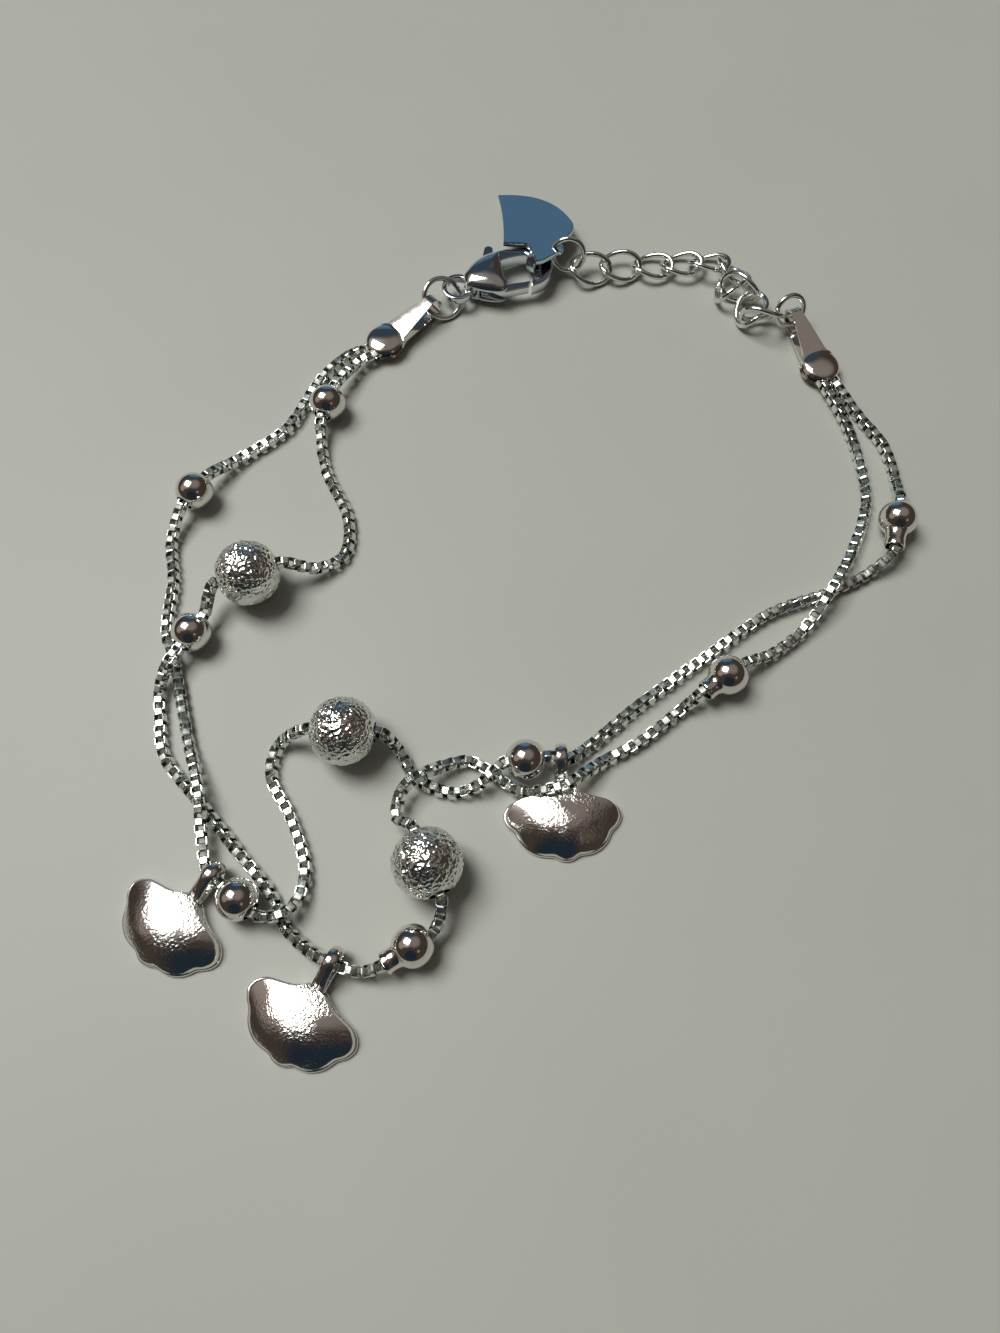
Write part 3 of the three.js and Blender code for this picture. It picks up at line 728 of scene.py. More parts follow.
def plate_colour(tree, place, colour, stain, mark):
    """The plate's colour: stained in clouds, and darkened with painted shade inside the chain's
    links.
    """
    clouds = add_node(
        tree, "ShaderNodeTexNoise", {"Vector": place, "Scale": 1 / (CLOUD * MM), "Detail": 3.0}
    )
    tint = add_node(
        tree,
        "ShaderNodeMix",
        {"Factor": clouds.outputs["Fac"], MIX_A: colour, MIX_B: stain},
        data_type="RGBA",
    )
    # The inside of each link is painted darker: painted shade where the strips hide it.
    if mark == "inside":
        inside_shade_mask = add_node(tree, "ShaderNodeAttribute", attribute_name=mark)
        links = {MIX_A: tint.outputs[MIX_OUT], MIX_B: linear(INSIDE_SHADE)}
        links["Factor"] = inside_shade_mask.outputs["Fac"]
        tint = add_node(tree, "ShaderNodeMix", links, data_type="RGBA")
    return tint.outputs[MIX_OUT]


def plate_surface(tree, shader, place, roughness, grain, depth, mark):
    """The plate's uneven gloss and fine relief, from the marks that polishing or casting left."""
    marks = add_node(
        tree, "ShaderNodeTexNoise", {"Vector": place, "Scale": 1 / grain, "Detail": 4.0}
    )
    gloss = add_node(
        tree,
        "ShaderNodeMapRange",
        {
            "Value": marks.outputs["Fac"],
            "From Min": GRAIN_RANGE[0],
            "From Max": GRAIN_RANGE[1],
            "To Min": roughness * GLOSS_RANGE[0],
            "To Max": roughness * GLOSS_RANGE[1],
        },
    )
    bump = add_node(
        tree,
        "ShaderNodeBump",
        {"Strength": 1.0, "Distance": depth, "Height": marks.outputs["Fac"]},
    )
    if mark == "pitting":
        mask = add_node(tree, "ShaderNodeAttribute", attribute_name=mark)
        tree.links.new(mask.outputs["Fac"], bump.inputs["Strength"])
    tree.links.new(gloss.outputs["Result"], shader.inputs["Roughness"])
    tree.links.new(bump.outputs["Normal"], shader.inputs["Normal"])


def metal(slot):
    """The plated metal of a slot, made once."""
    name, colour, stain, roughness, grain, depth, mark = METALS[slot]
    found = bpy.data.materials.get(name)
    if found:
        return found
    material, tree, shader, place = start_material(name)
    shader.inputs["Metallic"].default_value = 1.0
    tint = plate_colour(tree, place, chosen(colour), linear(stain), mark)
    tree.links.new(tint, shader.inputs["Base Color"])
    plate_surface(tree, shader, place, roughness, grain * MM, depth * MM, mark)
    return material


# ---- Chain strands ----


def chain_end(cap, side):
    """Where a strand's end sits inside a cap, and the way out of the cap."""
    _, x, y, heading = cap
    along = polar(heading)
    across = Vector((-along.y, along.x, 0.0))
    middle = Vector((x, y, CAP["middle"]))
    return middle + along * CHAIN_ENDS_AT + across * side * CHAIN_APART, along


def ball_reach(kind):
    """Half a bead's length: where its ball meets its bore."""
    bead = BEADS[kind]
    return math.sqrt(bead["radius"] ** 2 - bead["bore"] ** 2)


def strand_points(rows, start_side):
    """The route's rows as curve points, and the bead of each threaded row."""
    first, out_first = chain_end(CAPS[0], start_side)
    last, out_last = chain_end(CAPS[1], -start_side)
    points = [first, first + out_first * CAP_MOUTH]
    threaded = []
    for row in rows:
        centre = Vector(row[:3])
        if len(row) == 3:
            points.append(centre)
            continue
        kind, heading = row[3:]
        along = polar(heading)
        reach = ball_reach(kind) + LEAD
        for offset in (-reach - BEADS[kind]["neck"], -reach / 2, reach / 2, reach):
            points.append(centre + along * offset)
        threaded.append((kind, centre, heading))
    points += [last + out_last * CAP_MOUTH, last]
    return points, threaded


def smooth_span(before, start, end, after, t):
    """A point between start and end of a curve that is timed by the root of each span's length."""
    spans = ((before, start), (start, end), (end, after))
    d0, d1, d2 = [max((b - a).length ** 0.5, 1e-4) for a, b in spans]
    leave = (start - before) / d0 - (end - before) / (d0 + d1) + (end - start) / d1
    arrive = (end - start) / d1 - (after - start) / (d1 + d2) + (after - end) / d2
    leave *= d1
    arrive *= d1
    square = -3 * start + 3 * end - 2 * leave - arrive
    cube = 2 * start - 2 * end + leave + arrive
    return start + leave * t + square * t**2 + cube * t**3


def smooth_line(points, detail):
    """A smooth line through points, sampled in detail parts a span."""
    ends = [2 * points[0] - points[1], *points, 2 * points[-1] - points[-2]]
    line = []
    for i in range(1, len(ends) - 2):
        for k in range(detail):
            line.append(smooth_span(*ends[i - 1 : i + 3], k / detail))
    line.append(points[-1].copy())
    return line


def evenly_spaced(line, pitch):
    """Places along a line at an even pitch, each with the line's direction there."""
    places = []
    walked = 0.0
    wanted = pitch / 2
    for a, b in zip(line, line[1:]):
        step = (b - a).length
        while step > 0 and walked + step >= wanted:
            places.append((a.lerp(b, (wanted - walked) / step), (b - a).normalized()))
            wanted += pitch
        walked += step
    return places


def link_outline(length, width, inset):
    """A link's outline from above, drawn in by an inset: a rectangle with round corners."""
    x = length / 2 - LINK_CORNER
    y = width / 2 - LINK_CORNER
    points = []
    for quarter, (along, across) in enumerate(((1, 1), (-1, 1), (-1, -1), (1, -1))):
        for step in range(3):
            corner = Vector((along * x, across * y, 0.0))
            points.append(corner + polar(90 * quarter + 45 * step, LINK_CORNER - inset))
    return points


def box_link(chain):
    """One link: a crowned strip folded into a square loop with round corners, open across Z."""
    rings = []
    for inset, across in LINK_STRIP:
        outline = link_outline(chain.length / MM, chain.width / MM, inset * chain.sheet / MM)
        height = Vector((0.0, 0.0, across * chain.strip / MM / 2))
        rings.append([point + height for point in outline])
    bm = skin(rings)[0]
    # The inside faces are marked so that painted shade darkens them.
    inside = bm.verts.layers.float.new("inside")
    rims = [e for e in bm.edges if e.is_boundary]
    for vert in {v for e in rims for v in e.verts}:
        vert[inside] = 1.0
    bmesh.ops.bridge_loops(bm, edges=rims)
    bmesh.ops.recalc_face_normals(bm, faces=bm.faces)
    template = bpy.data.meshes.new("box_link")
    bm.to_mesh(template)
    bm.free()
    return template


def swayed(number, seed, waves):
    """How far a link sways: a slow wave along the strand and a quick one from link to link."""
    spots = [(Vector((number * step, seed, row)), strength) for step, strength, row in waves]
    return sum(noise.noise(spot) * strength for spot, strength in spots)


def link_place(number, at, along, chain, seed):
    """The matrix of one link, lifted where its roll would put it into the board."""
    across = Vector((-along.y, along.x, 0.0)).normalized()
    turned = Matrix((along, across, along.cross(across))).transposed().to_4x4()
    settled = Vector((*map(math.radians, SETTLED), 0.0))
    roll = chain.sway * swayed(number, seed, ROLL_WAVES) - settled.dot(across)
    tip = chain.tip * swayed(number, seed, TIP_WAVES) + settled.dot(along)
    reach = (chain.width * abs(math.cos(roll)) + chain.strip * abs(math.sin(roll))) / MM / 2
    height = max(at.z, reach + CLEAR)
    if number % 2:
        roll += math.pi / 2
    lean = Matrix.Rotation(tip, 4, "Y") @ Matrix.Rotation(roll, 4, "X")
    return Matrix.Translation((at.x, at.y, height)) @ turned @ lean


def build_strand(name, rows, side, chain, seed):
    """A whole strand of box chain, every second link turned a quarter."""
    points, _ = strand_points(rows, side)
    line = smooth_line(points, LINE_DETAIL)
    for point in line:
        point.z = max(point.z, LOW)
    template = box_link(chain)
    bm = bmesh.new()
    for number, (at, along) in enumerate(evenly_spaced(line, chain.pitch / MM)):
        copy = template.copy()
        copy.transform(link_place(number, at, along, chain, seed))
        bm.from_mesh(copy)
        bpy.data.meshes.remove(copy)
    bpy.data.meshes.remove(template)
    place = Matrix.Translation(-LAYOUT_MIDDLE)
    make_piece(f"{name}_box_chain", bm, place, "chain", name, sharp=SHARP_LINK)


class BRACELET_OT_chains(bpy.types.Operator):
    """Builds both strands of box chain, link by link"""

    bl_idname = "bracelet.chains"
    bl_label = "Box chains"

    def execute(self, context):
        chain = context.scene.bracelet_chain
        build_strand("strand_a", ROUTE_A, -1, chain, 1.5)
        build_strand("strand_b", ROUTE_B, 1, chain, 8.5)
        return {"FINISHED"}


# ---- Beads ----


def open_ball(bm, low, high):
    """Cuts both ends off a ball on the Z axis."""
    for height, below in ((low, True), (high, False)):
        bmesh.ops.bisect_plane(
            bm,
            geom=bm.verts[:] + bm.edges[:] + bm.faces[:],
            plane_co=(0, 0, height),
            plane_no=(0, 0, 1),
            clear_inner=below,
            clear_outer=not below,
        )


def rim_at(bm, height):
    """The edges of the open mouth at a height."""
    rims = [e for e in bm.edges if e.is_boundary]
    return [e for e in rims if all(abs(v.co.z - height) < HAIR for v in e.verts)]


def draw_ring(bm, edges, radius, height):
    """Extrudes a mouth's edges to a ring of another radius and height."""
    edges, points = extrude_loop(bm, edges)
    for point in points:
        flat = Vector((point.co.x, point.co.y, 0.0)).normalized() * radius
        point.co = Vector((flat.x, flat.y, height))
    return edges


def drill(bm, low, high, bore):
    """Turns both open mouths inwards, joins them with a straight bore and lays the bead along Y."""
    mouths = []
    for height in (low, high):
        mouths += draw_ring(bm, rim_at(bm, height), bore, height)
    bmesh.ops.bridge_loops(bm, edges=mouths)
    bmesh.ops.recalc_face_normals(bm, faces=bm.faces)
    bmesh.ops.rotate(bm, matrix=Matrix.Rotation(-math.pi / 2, 3, "X"), verts=bm.verts)


def smooth_bead(kind, settings):
    """A drilled ball along Y, with a soldered neck towards -Y where it has one."""
    bead = BEADS[kind]
    radius, bore, neck = bead["radius"], bead["bore"], bead["neck"]
    bm = bmesh.new()
    bmesh.ops.create_uvsphere(
        bm, u_segments=settings.sides, v_segments=settings.rings, radius=radius
    )
    high = math.sqrt(radius**2 - (bore + LIP) ** 2)
    low = -math.sqrt(radius**2 - COLLAR**2) if neck else -high
    open_ball(bm, low, high)
    if neck:
        end = -ball_reach(kind) - neck
        edges = rim_at(bm, low)
        for share, size in NECK:
            edges = draw_ring(bm, edges, size, low + (end - low) * share)
        low = end
    drill(bm, low, high, bore)
    return bm


def frosted_bead(settings, seed):
    """A drilled ball whose skin is struck all over with small facets."""
    radius, bore = BEADS["frosted"]["radius"], BEADS["frosted"]["bore"]
    depth = settings.frost_depth / MM
    bm = bmesh.new()
    bmesh.ops.create_icosphere(bm, subdivisions=7, radius=radius - depth * FROST_SUNK)
    high = math.sqrt(radius**2 - (bore + 2 * LIP) ** 2) - LIP
    open_ball(bm, -high, high)
    offset = Vector([seed * step for step in FROST_APART])
    for vert in bm.verts:
        out = vert.co.normalized()
        spot = out * radius / (settings.frost_grain / MM) + offset
        facets = noise.voronoi(spot)[0][0] * FROST_FACETS
        dents = sum(noise.noise(spot * count) * strength for count, strength in FROST_WAVES)
        fade = min((high - abs(vert.co.z)) / FROST_FADE, 1.0)
        vert.co += out * depth * (dents + facets - FROST_MEAN) * max(fade, 0.0)
    drill(bm, -high, high, bore)
    return bm


class BRACELET_OT_beads(bpy.types.Operator):
    """Turns and threads the polished and the frosted beads"""

    bl_idname = "bracelet.beads"
    bl_label = "Beads"

    def execute(self, context):
        settings = context.scene.bracelet_beads
        counts = {"smooth_bead": 0, "frosted_bead": 0}
        for rows, side in ((ROUTE_A, -1), (ROUTE_B, 1)):
            for kind, centre, heading in strand_points(rows, side)[1]:
                node = "frosted_bead" if kind == "frosted" else "smooth_bead"
                counts[node] += 1
                if kind == "frosted":
                    bm, slot = frosted_bead(settings, counts[node]), "frosted_silver"
                else:
                    bm, slot = smooth_bead(kind, settings), "polished_silver"
                name = f"{node}_{counts[node]}"
                make_piece(f"{name}_ball", bm, layout_place(*centre, heading - 90), slot, name)
        return {"FINISHED"}


# ---- Leaf charms ----


def leaf_reach(angle):
    """Distance from the pole to the scalloped edge, at an angle in degrees from the middle."""
    share = angle / LEAF["tip_angle"]
    plain = LEAF["reach"] - LEAF["narrowing"] * share**2
    lobes = zip(LOBE_EDGES, LOBE_EDGES[1:])
    first, last = next((lobe for lobe in lobes if angle <= lobe[1]), LOBE_EDGES[-2:])
    in_lobe = min(max((angle - first) / (last - first), 0.0), 1.0)
    bulge = math.sin(math.pi * in_lobe) ** LEAF["scallop_power"]
    return plain - LEAF["scallop"] * (1 - bulge)


def shoulder(side, tip):
    """The leaf's edge from its neck out to a tip of the fan, without the tip."""
    points = [Vector((x, side * y, 0.0)) for x, y in LEAF_SHOULDER]
    return smooth_line([*points, tip], 7)[:-1]


def leaf_outline():
    """The leaf's edge from one side of its neck round to the other; +X is its middle."""
    parts = LEAF["lobe_parts"]
    edge = []
    for first, last in zip(LOBE_EDGES, LOBE_EDGES[1:]):
        for k in range(parts):
            angle = first + (last - first) * k / parts
            edge.append(polar(angle, leaf_reach(angle)))
    far = leaf_reach(LEAF["tip_angle"])
    tips = [polar(side * LEAF["tip_angle"], far) for side in (-1, 1)]
    outline = shoulder(-1, tips[0]) + edge + tips[1:] + shoulder(1, tips[1])[::-1]
    outline = softened(outline, LEAF["rubs"])
    rubbed = softened(outline, LEAF["tip_rubs"])
    near = [min((p - tip).length for tip in tips) / LEAF["tip_round"] for p in outline]
    return [soft.lerp(p, min(n, 1.0) ** 2) for soft, p, n in zip(rubbed, outline, near)]


def dome_height(x, y, rim):
    """Height of the leaf's broad dome, which rolls over along the fan's edge, above its rim."""
    share = min(abs(math.degrees(math.atan2(y, x))) / LEAF["tip_angle"], 1.0)
    edge = LEAF["reach"] - LEAF["narrowing"] * share**2
    over = max(math.hypot(x, y) - edge + LEAF["front"], 0.0)
    back = max(LEAF["crest_at"] - x, 0.0)
    rolled = over**2 * (1 - share**2) / LEAF["round_front"]
    fall = rolled + back**2 / LEAF["round_back"] + y**2 / LEAF["round_across"]
    above = LEAF["dome"] - fall / 2 - rim
    return rim + LEAF["blend"] * math.log1p(math.exp(above / LEAF["blend"]))


def leaf_plate():
    """The domed leaf: its outline drawn in ring by ring, up to the middle of the dome."""
    outline = leaf_outline()
    centre = Vector((LEAF["middle"], 0.0, 0.0))
    dome = [(share, 1.0, LEAF["rim"]) for share in LEAF_DOME]
    rings = []
    for share, risen, rim in (*LEAF_RIM, *dome):
        ring = [centre.lerp(point, share) for point in outline]
        for point in ring:
            point.z = rim + (dome_height(point.x, point.y, rim) - rim) * risen
        rings.append(ring)
    return closed_skin(rings)


def softened(points, rounds):
    """A closed outline with its corners rubbed round."""
    for _ in range(rounds):
        around = zip(points[-1:] + points[:-1], points, points[1:] + points[:1])
        points = [(before + 2 * here + after) / 4 for before, here, after in around]
    return points


def bail_line():
    """The middle of the bail's band as places and the angle each faces: out, round and back."""
    radius = (BAIL["height"] - BAIL["wall"]) / 2
    eye = Vector((BAIL["height"] / 2 - BAIL["length"], 0.0, BAIL["height"] / 2))
    root = Vector((BAIL["root_at"], 0.0, BAIL["root_height"]))
    across = eye - root
    leaning = math.atan2(across.z, across.x)
    spread = math.asin(radius / across.length) + math.pi / 2
    turn_from, turn_to = leaning - spread, leaning + spread
    turns, legs = BAIL["turn_parts"], BAIL["leg_parts"]
    line = []
    for i in range(turns + 1):
        angle = turn_from + (turn_to - turn_from) * i / turns
        line.append((eye + radius * Vector((math.cos(angle), 0.0, math.sin(angle))), angle))
    end = root - Vector((0.0, 0.0, BAIL["root_drop"]))
    out = [(root.lerp(line[0][0], k / legs), turn_from) for k in range(legs)]
    back = [(line[-1][0].lerp(end, k / legs), turn_to) for k in range(1, legs + 1)]
    return out + line + back


def bail():
    """The crowned band that leaves the leaf's neck, turns round the chain and comes back."""
    crown = [(0.5 * math.cos(angle), math.sin(angle)) for angle in BAIL_CROWN]
    section = (*BAIL_FLAT, *crown, BAIL_LAST)
    line = bail_line()
    rings = []
    for at, angle in line:
        near_root = max(1.0 - (at - line[0][0]).length / BAIL["swell_reach"], 0.0)
        half = BAIL["width"] / 2 * (BAIL["waist"] + BAIL["swell"] * near_root)
        outwards = Vector((math.cos(angle), 0.0, math.sin(angle))) * BAIL["wall"]
        rings.append([at + outwards * x + Vector((0.0, half * y, 0.0)) for x, y in section])
    return closed_skin(rings)


def pit_surface(bm, seed):
    """Marks where the mould's skin shows, strongest in the middle and by the neck."""
    layer = bm.verts.layers.float.new("pitting")
    at = Vector(PITS["at"])
    apart = Vector((seed * PITS["apart"], 0.0, 0.0))
    for vert in bm.verts:
        near = max(1.0 - (vert.co - at).length / PITS["reach"], 0.0)
        patch = noise.noise(vert.co * PITS["patch_count"] + apart)
        depth = PITS["least"] + near * (PITS["mean"] + PITS["patchiness"] * patch)
        vert[layer] = min(max(depth, 0.0), 1.0)


class BRACELET_OT_leaves(bpy.types.Operator):
    """Models the three ginkgo leaves with their bails"""

    bl_idname = "bracelet.leaves"
    bl_label = "Leaf charms"

    def execute(self, context):
        for number, (name, x, y, heading) in enumerate(LEAVES):
            bm = leaf_plate()
            join_into(bm, bail())
            pit_surface(bm, number)
            place = layout_place(x, y, heading=heading)
            make_piece(f"{name}_casting", bm, place, "cast_silver", name)
        return {"FINISHED"}


# ---- End caps ----


def cap_rows():
    """The folded strip from its lower round end, round the loop, to its upper one.

    Each row is x, the shell it lies on (+1 above, -1 below, 0 in the loop), the height of the
    strip's middle in the loop, and half its width.
    """
    tip = CAP["round_at"] + CAP["round"]
    plate_parts, loop_parts = CAP["plate_parts"], CAP["loop_parts"]
    plate = []
    for i in range(plate_parts + 1):
        x = tip * math.sin(math.pi / 2 * i / plate_parts)
        plate.append((x, cap_width(x)))
    outer = CAP["loop"] + CAP["sheet"]
    rows = [(x, -1, 0.0, width) for x, width in reversed(plate)]
    for i in range(1, loop_parts):
        angle = math.radians(270 - 180 * i / loop_parts)
        height = CAP["seat"] + outer * math.sin(angle)
        rows.append((outer * math.cos(angle), 0, height, CAP["loop_width"]))
    return rows + [(x, 1, 0.0, width) for x, width in plate]


def cap_width(x):
    """Half the strip's width at a distance from the loop's middle: a taper, then a round end."""
    waist_at = CAP["round_at"] - math.sqrt(CAP["round"] ** 2 - CAP["waist"] ** 2)
    taper = CAP["loop_width"] + (CAP["waist"] - CAP["loop_width"]) * min(x / waist_at, 1.0)
    if x <= waist_at:
        return taper
    return math.sqrt(max(CAP["round"] ** 2 - (x - CAP["round_at"]) ** 2, 0.0))


def shell_height(x, y, side):
    """Height of the upper or lower shell: a crowned plate that meets the round dome in a crease."""
    seat, middle = CAP["seat"], CAP["middle"]
    start = seat + side * (CAP["loop"] + CAP["sheet"])
    end = middle + side * CAP["plate_end"]
    plate = start + (end - start) * x / CAP["round_at"] - side * y**2 / (2 * CAP["crown"])
    out = math.hypot(x - CAP["round_at"], y)
    if out > CAP["round"] + HAIR:
        return plate
    share = min(out / CAP["round"], 1.0)
    rise = (CAP["dome_height"] - CAP["gap"]) * math.sqrt(1 - share**2)
    dome = middle + side * (CAP["gap"] + rise)
    return max(side * plate, side * dome) * side


def build_cap():
    """A cap folded from one strip, its two round ends domed over the chain ends."""
    rows = cap_rows()
    spans = len(rows) - 1
    bm = bmesh.new()
    bmesh.ops.create_grid(bm, x_segments=spans, y_segments=CAP["columns"], size=1.0)
    for vert in bm.verts:
        x, side, z, width = rows[round((vert.co.x + 1) / 2 * spans)]
        y = vert.co.y * width
        if side:
            vert.co = Vector((x, y, shell_height(x, y, side)))
        else:
            vert.co = Vector((x, y, z))
    bmesh.ops.remove_doubles(bm, verts=bm.verts, dist=1e-4)
    bmesh.ops.dissolve_degenerate(bm, edges=bm.edges, dist=1e-5)
    bmesh.ops.recalc_face_normals(bm, faces=bm.faces)
    top = max(bm.faces, key=lambda f: f.calc_center_median().z)
    if top.normal.z < 0:
        bmesh.ops.reverse_faces(bm, faces=bm.faces)
    bmesh.ops.solidify(bm, geom=bm.faces[:], thickness=CAP["wall"])
    bmesh.ops.recalc_face_normals(bm, faces=bm.faces)
    return bm


class BRACELET_OT_caps(bpy.types.Operator):
    """Folds the two end caps over the chain ends"""

    bl_idname = "bracelet.caps"
    bl_label = "End caps"

    def execute(self, context):
        for name, x, y, heading in CAPS:
            place = layout_place(x, y, heading=heading)
            make_piece(f"{name}_fold", build_cap(), place, "polished_silver", name)
        return {"FINISHED"}


# ---- Clasp ----


def clasp_shell_outline():
    """The swelling body from above, its eye end at -X."""
    steps = (
        ("quad", -0.9, -1.6, 0.6, -2.1),
        ("quad", 1.7, -2.3, 1.75, -1.3),
        ("quad", 1.45, 0.0, 1.75, 1.2),
        ("line", 1.9, 2.35),
        ("quad", -0.3, 2.5, -1.9, 0.35),
    )
    return outline_points((-1.9, -0.75), steps, 14)


def claw_outline():
    """The fixed claw from above, from the body round to its tip and back."""
    steps = (
        ("cubic", 3.2, 2.7, 5.0, 2.6, 5.9, 1.2),
        ("cubic", 6.5, 0.1, 5.9, -1.3, 4.9, -1.85),
        ("quad", 4.3, -2.1, 3.68, -2.1),
        ("line", 4.02, -1.25),
        ("cubic", 4.9, -1.0, 5.3, -0.1, 4.95, 0.7),
        ("cubic", 4.4, 1.7, 3.0, 1.6, 1.2, 1.25),
    )
    return outline_points((1.2, 2.3), steps, 14)


def clasp_shell(side):
    """One half of the swelling body, above or below the gate's slot."""
    outline = clasp_shell_outline()
    centre = Vector(CLASP["crown_at"])
    slot = CLASP["slot_half"]
    rings = []
    for share, height in CLASP_SHELL:
        level = Vector((0.0, 0.0, side * (slot + (CLASP["body_half"] - slot) * height)))
        rings.append([centre.lerp(point, share) + level for point in outline])
    return closed_skin(rings)


def build_clasp():
    """The clasp's body: two domed halves, the bridge between them, claw and eye."""
    bm = bmesh.new()
    for side in (-1, 1):
        join_into(bm, clasp_shell(side))
    bridge = (
        ("quad", -1.3, -1.2, -0.75, -0.85),
        ("arc", 0.0, 0.0, 1.12, 229, 129),
        ("line", -1.1, 1.2),
        ("quad", -1.6, 0.8, -1.85, 0.3),
    )
    slot = CLASP["slot_half"] + CLASP["sunk"]
    bridge_outline = outline_points((-1.85, -0.7), bridge)
    join_into(bm, prism(bridge_outline, -slot, slot, CLASP["bridge_ease"], 1))
    arm, ease = CLASP["arm_half"], CLASP["ease"]
    join_into(bm, prism(claw_outline(), -arm, arm, ease))
    eye = flat_ring(CLASP["eye_inner"], CLASP["eye_outer"], CLASP["eye_half"], ease)
    join_into(bm, eye, Matrix.Translation((*CLASP["eye_at"], 0.0)))
    return bm


def flat_ring(inner, outer, half, ease, sides=56):
    """A band with rounded rims, lying flat."""
    bm = bmesh.new()
    corners = ((inner, -half), (outer, -half), (outer, half), (inner, half))
    face = face_of(bm, [Vector((x, 0.0, z)) for x, z in corners])
    bmesh.ops.bevel(
        bm,
        geom=face.verts[:],
        offset=ease,
        offset_type="OFFSET",
        affect="VERTICES",
        segments=3,
        profile=0.5,
        material=-1,
    )
    bmesh.ops.delete(bm, geom=bm.faces[:], context="FACES_ONLY")
    spin_round(bm, sides)
    return bm


def build_gate():
    """The sprung lever with its thumb tab."""
    hub, hub_from, half = CLASP["hub"], CLASP["hub_from"], CLASP["gate_half"]
    steps = (
        ("arc", 0.0, 0.0, hub, hub_from, 250),
        ("quad", 0.5, -2.0, 1.6, -2.02),
        ("line", 3.42, -2.02),
        ("line", 3.78, -1.32),
        ("line", 1.7, -1.2),
        ("quad", 0.95, -0.95, hub, 0.0),
        ("arc", 0.0, 0.0, hub, 0, 47),
        ("arc", 1.04, 3.02, 0.4, -20, 160),
    )
    outline = outline_points(polar(hub_from, hub)[:2], steps)
    return prism(outline, -half, half, CLASP["gate_ease"])


class BRACELET_OT_clasp(bpy.types.Operator):
    """Models the lobster clasp and its lever"""

    bl_idname = "bracelet.clasp"
    bl_label = "Clasp"

    def execute(self, context):
        x, y, heading = CLASP_PLACE
        place = layout_place(x, y, CLASP["middle"], heading)
        make_piece("clasp_body_casting", build_clasp(), place, "clasp_silver", "clasp_body")
        make_piece("clasp_lever", build_gate(), place, "clasp_silver", "clasp_gate", GATE)
        return {"FINISHED"}


# ---- Tag, rings and links ----


def tag_outline():
    """The fin from above, with the round ear that its ring goes through."""
    ear_x, ear_y = TAG["ear_at"]
    steps = (
        ("line", -0.3, -0.6),
        ("quad", -0.45, 0.0, -0.9, 0.1),
        ("line", -2.7, 0.15),
        ("quad", -2.6, 4.6, -3.2, 8.1),
        ("quad", 1.6, 8.6, 3.35, 4.1),
        ("quad", 4.1, 2.5, 2.9, 1.05),
        ("arc", ear_x, ear_y, TAG["ear"], 60, -70),
        ("line", 0.75, -2.5),
    )
    return outline_points((0.15, -2.7), steps, 22)


def build_tag():
    """The fin-shaped plate, its ear and the ring that holds the claw."""
    half = TAG["sheet"] / 2
    bm = prism(tag_outline(), -half, half, TAG["ease"], 2)
    slope = Matrix.Rotation(math.radians(-TAG["slope"]), 3, "X")
    bmesh.ops.rotate(bm, matrix=slope, verts=bm.verts)
    bail_half = TAG["bail_width"] / 2
    band = flat_ring(TAG["bail_inner"], TAG["bail_outer"], bail_half, TAG["bail_ease"])
    at = Vector(TAG["bail_at"]) - Vector(TAG_PLACE)
    turn = Matrix.Rotation(math.radians(TAG["bail_heading"]), 4, "Z")
    join_into(bm, band, Matrix.Translation(at) @ turn @ Matrix.Rotation(math.pi / 2, 4, "Y"))
    return bm


def curb_link():
    """A ring of wire drawn into an oval and twisted about its long axis."""
    wire = LINK["wire"]
    a = (LINK["length"] - wire) / 2
    b = (LINK["width"] - wire) / 2
    bm = ring_of_wire(1.0, wire)
    for vert in bm.verts:
        angle = math.atan2(vert.co.y, vert.co.x)
        out = math.hypot(vert.co.x, vert.co.y) - 1.0
        normal = Vector((b * math.cos(angle), a * math.sin(angle))).normalized()
        x = a * math.cos(angle) + out * normal.x
        y = b * math.sin(angle) + out * normal.y
        turn = Matrix.Rotation(math.radians(LINK["twist"]) * x / a, 3, "X")
        vert.co = turn @ Vector((x, y, vert.co.z))
    return bm


class BRACELET_OT_tag(bpy.types.Operator):
    """Cuts the bare fin-shaped tag with its ring"""

    bl_idname = "bracelet.tag"
    bl_label = "Tag"

    def execute(self, context):
        make_piece("tag_plate", build_tag(), layout_place(*TAG_PLACE), "tag_mirror", "tag")
        return {"FINISHED"}


class BRACELET_OT_rings(bpy.types.Operator):
    """Bends the jump rings and the extender's curb links"""

    bl_idname = "bracelet.rings"
    bl_label = "Rings and links"

    def execute(self, context):
        for name, *turns, radius in RINGS:
            bm = ring_of_wire(radius, RING_WIRE)
            make_piece(f"{name}_wire", bm, layout_place(*turns), "wire_silver", name)
        for number, turns in enumerate(LINKS, 1):
            name = f"link_{number}"
            make_piece(f"{name}_wire", curb_link(), layout_place(*turns), "wire_silver", name)
        return {"FINISHED"}


# ---- Studio ----

def board_material():
    """Painted paper board: matt, pale grey-green, faintly mottled, with fibres in its face."""
    material, tree, shader, place = start_material("painted_paper_board")
    shader.inputs["Roughness"].default_value = PAINT["roughness"]
    clouds = add_node(
        tree,
        "ShaderNodeTexNoise",
        {"Vector": place, "Scale": 1 / (PAINT["mottle"] * MM), "Detail": 4.0},
    )
    tint = add_node(
        tree,
        "ShaderNodeMix",
        {"Factor": clouds.outputs["Fac"], MIX_A: chosen("board"), MIX_B: linear(PAINT["stain"])},
        data_type="RGBA",
    )
    tree.links.new(tint.outputs[MIX_OUT], shader.inputs["Base Color"])
    fibres = add_node(
        tree,
        "ShaderNodeTexNoise",
        {"Vector": place, "Scale": 1 / (PAINT["fibre"] * MM), "Detail": 5.0},
    )
    bump = add_node(
        tree,
        "ShaderNodeBump",
        {
            "Strength": PAINT["fibre_strength"],
            "Distance": PAINT["fibre_depth"] * MM,
            "Height": fibres.outputs["Fac"],
        },
    )
    tree.links.new(bump.outputs["Normal"], shader.inputs["Normal"])
    return material


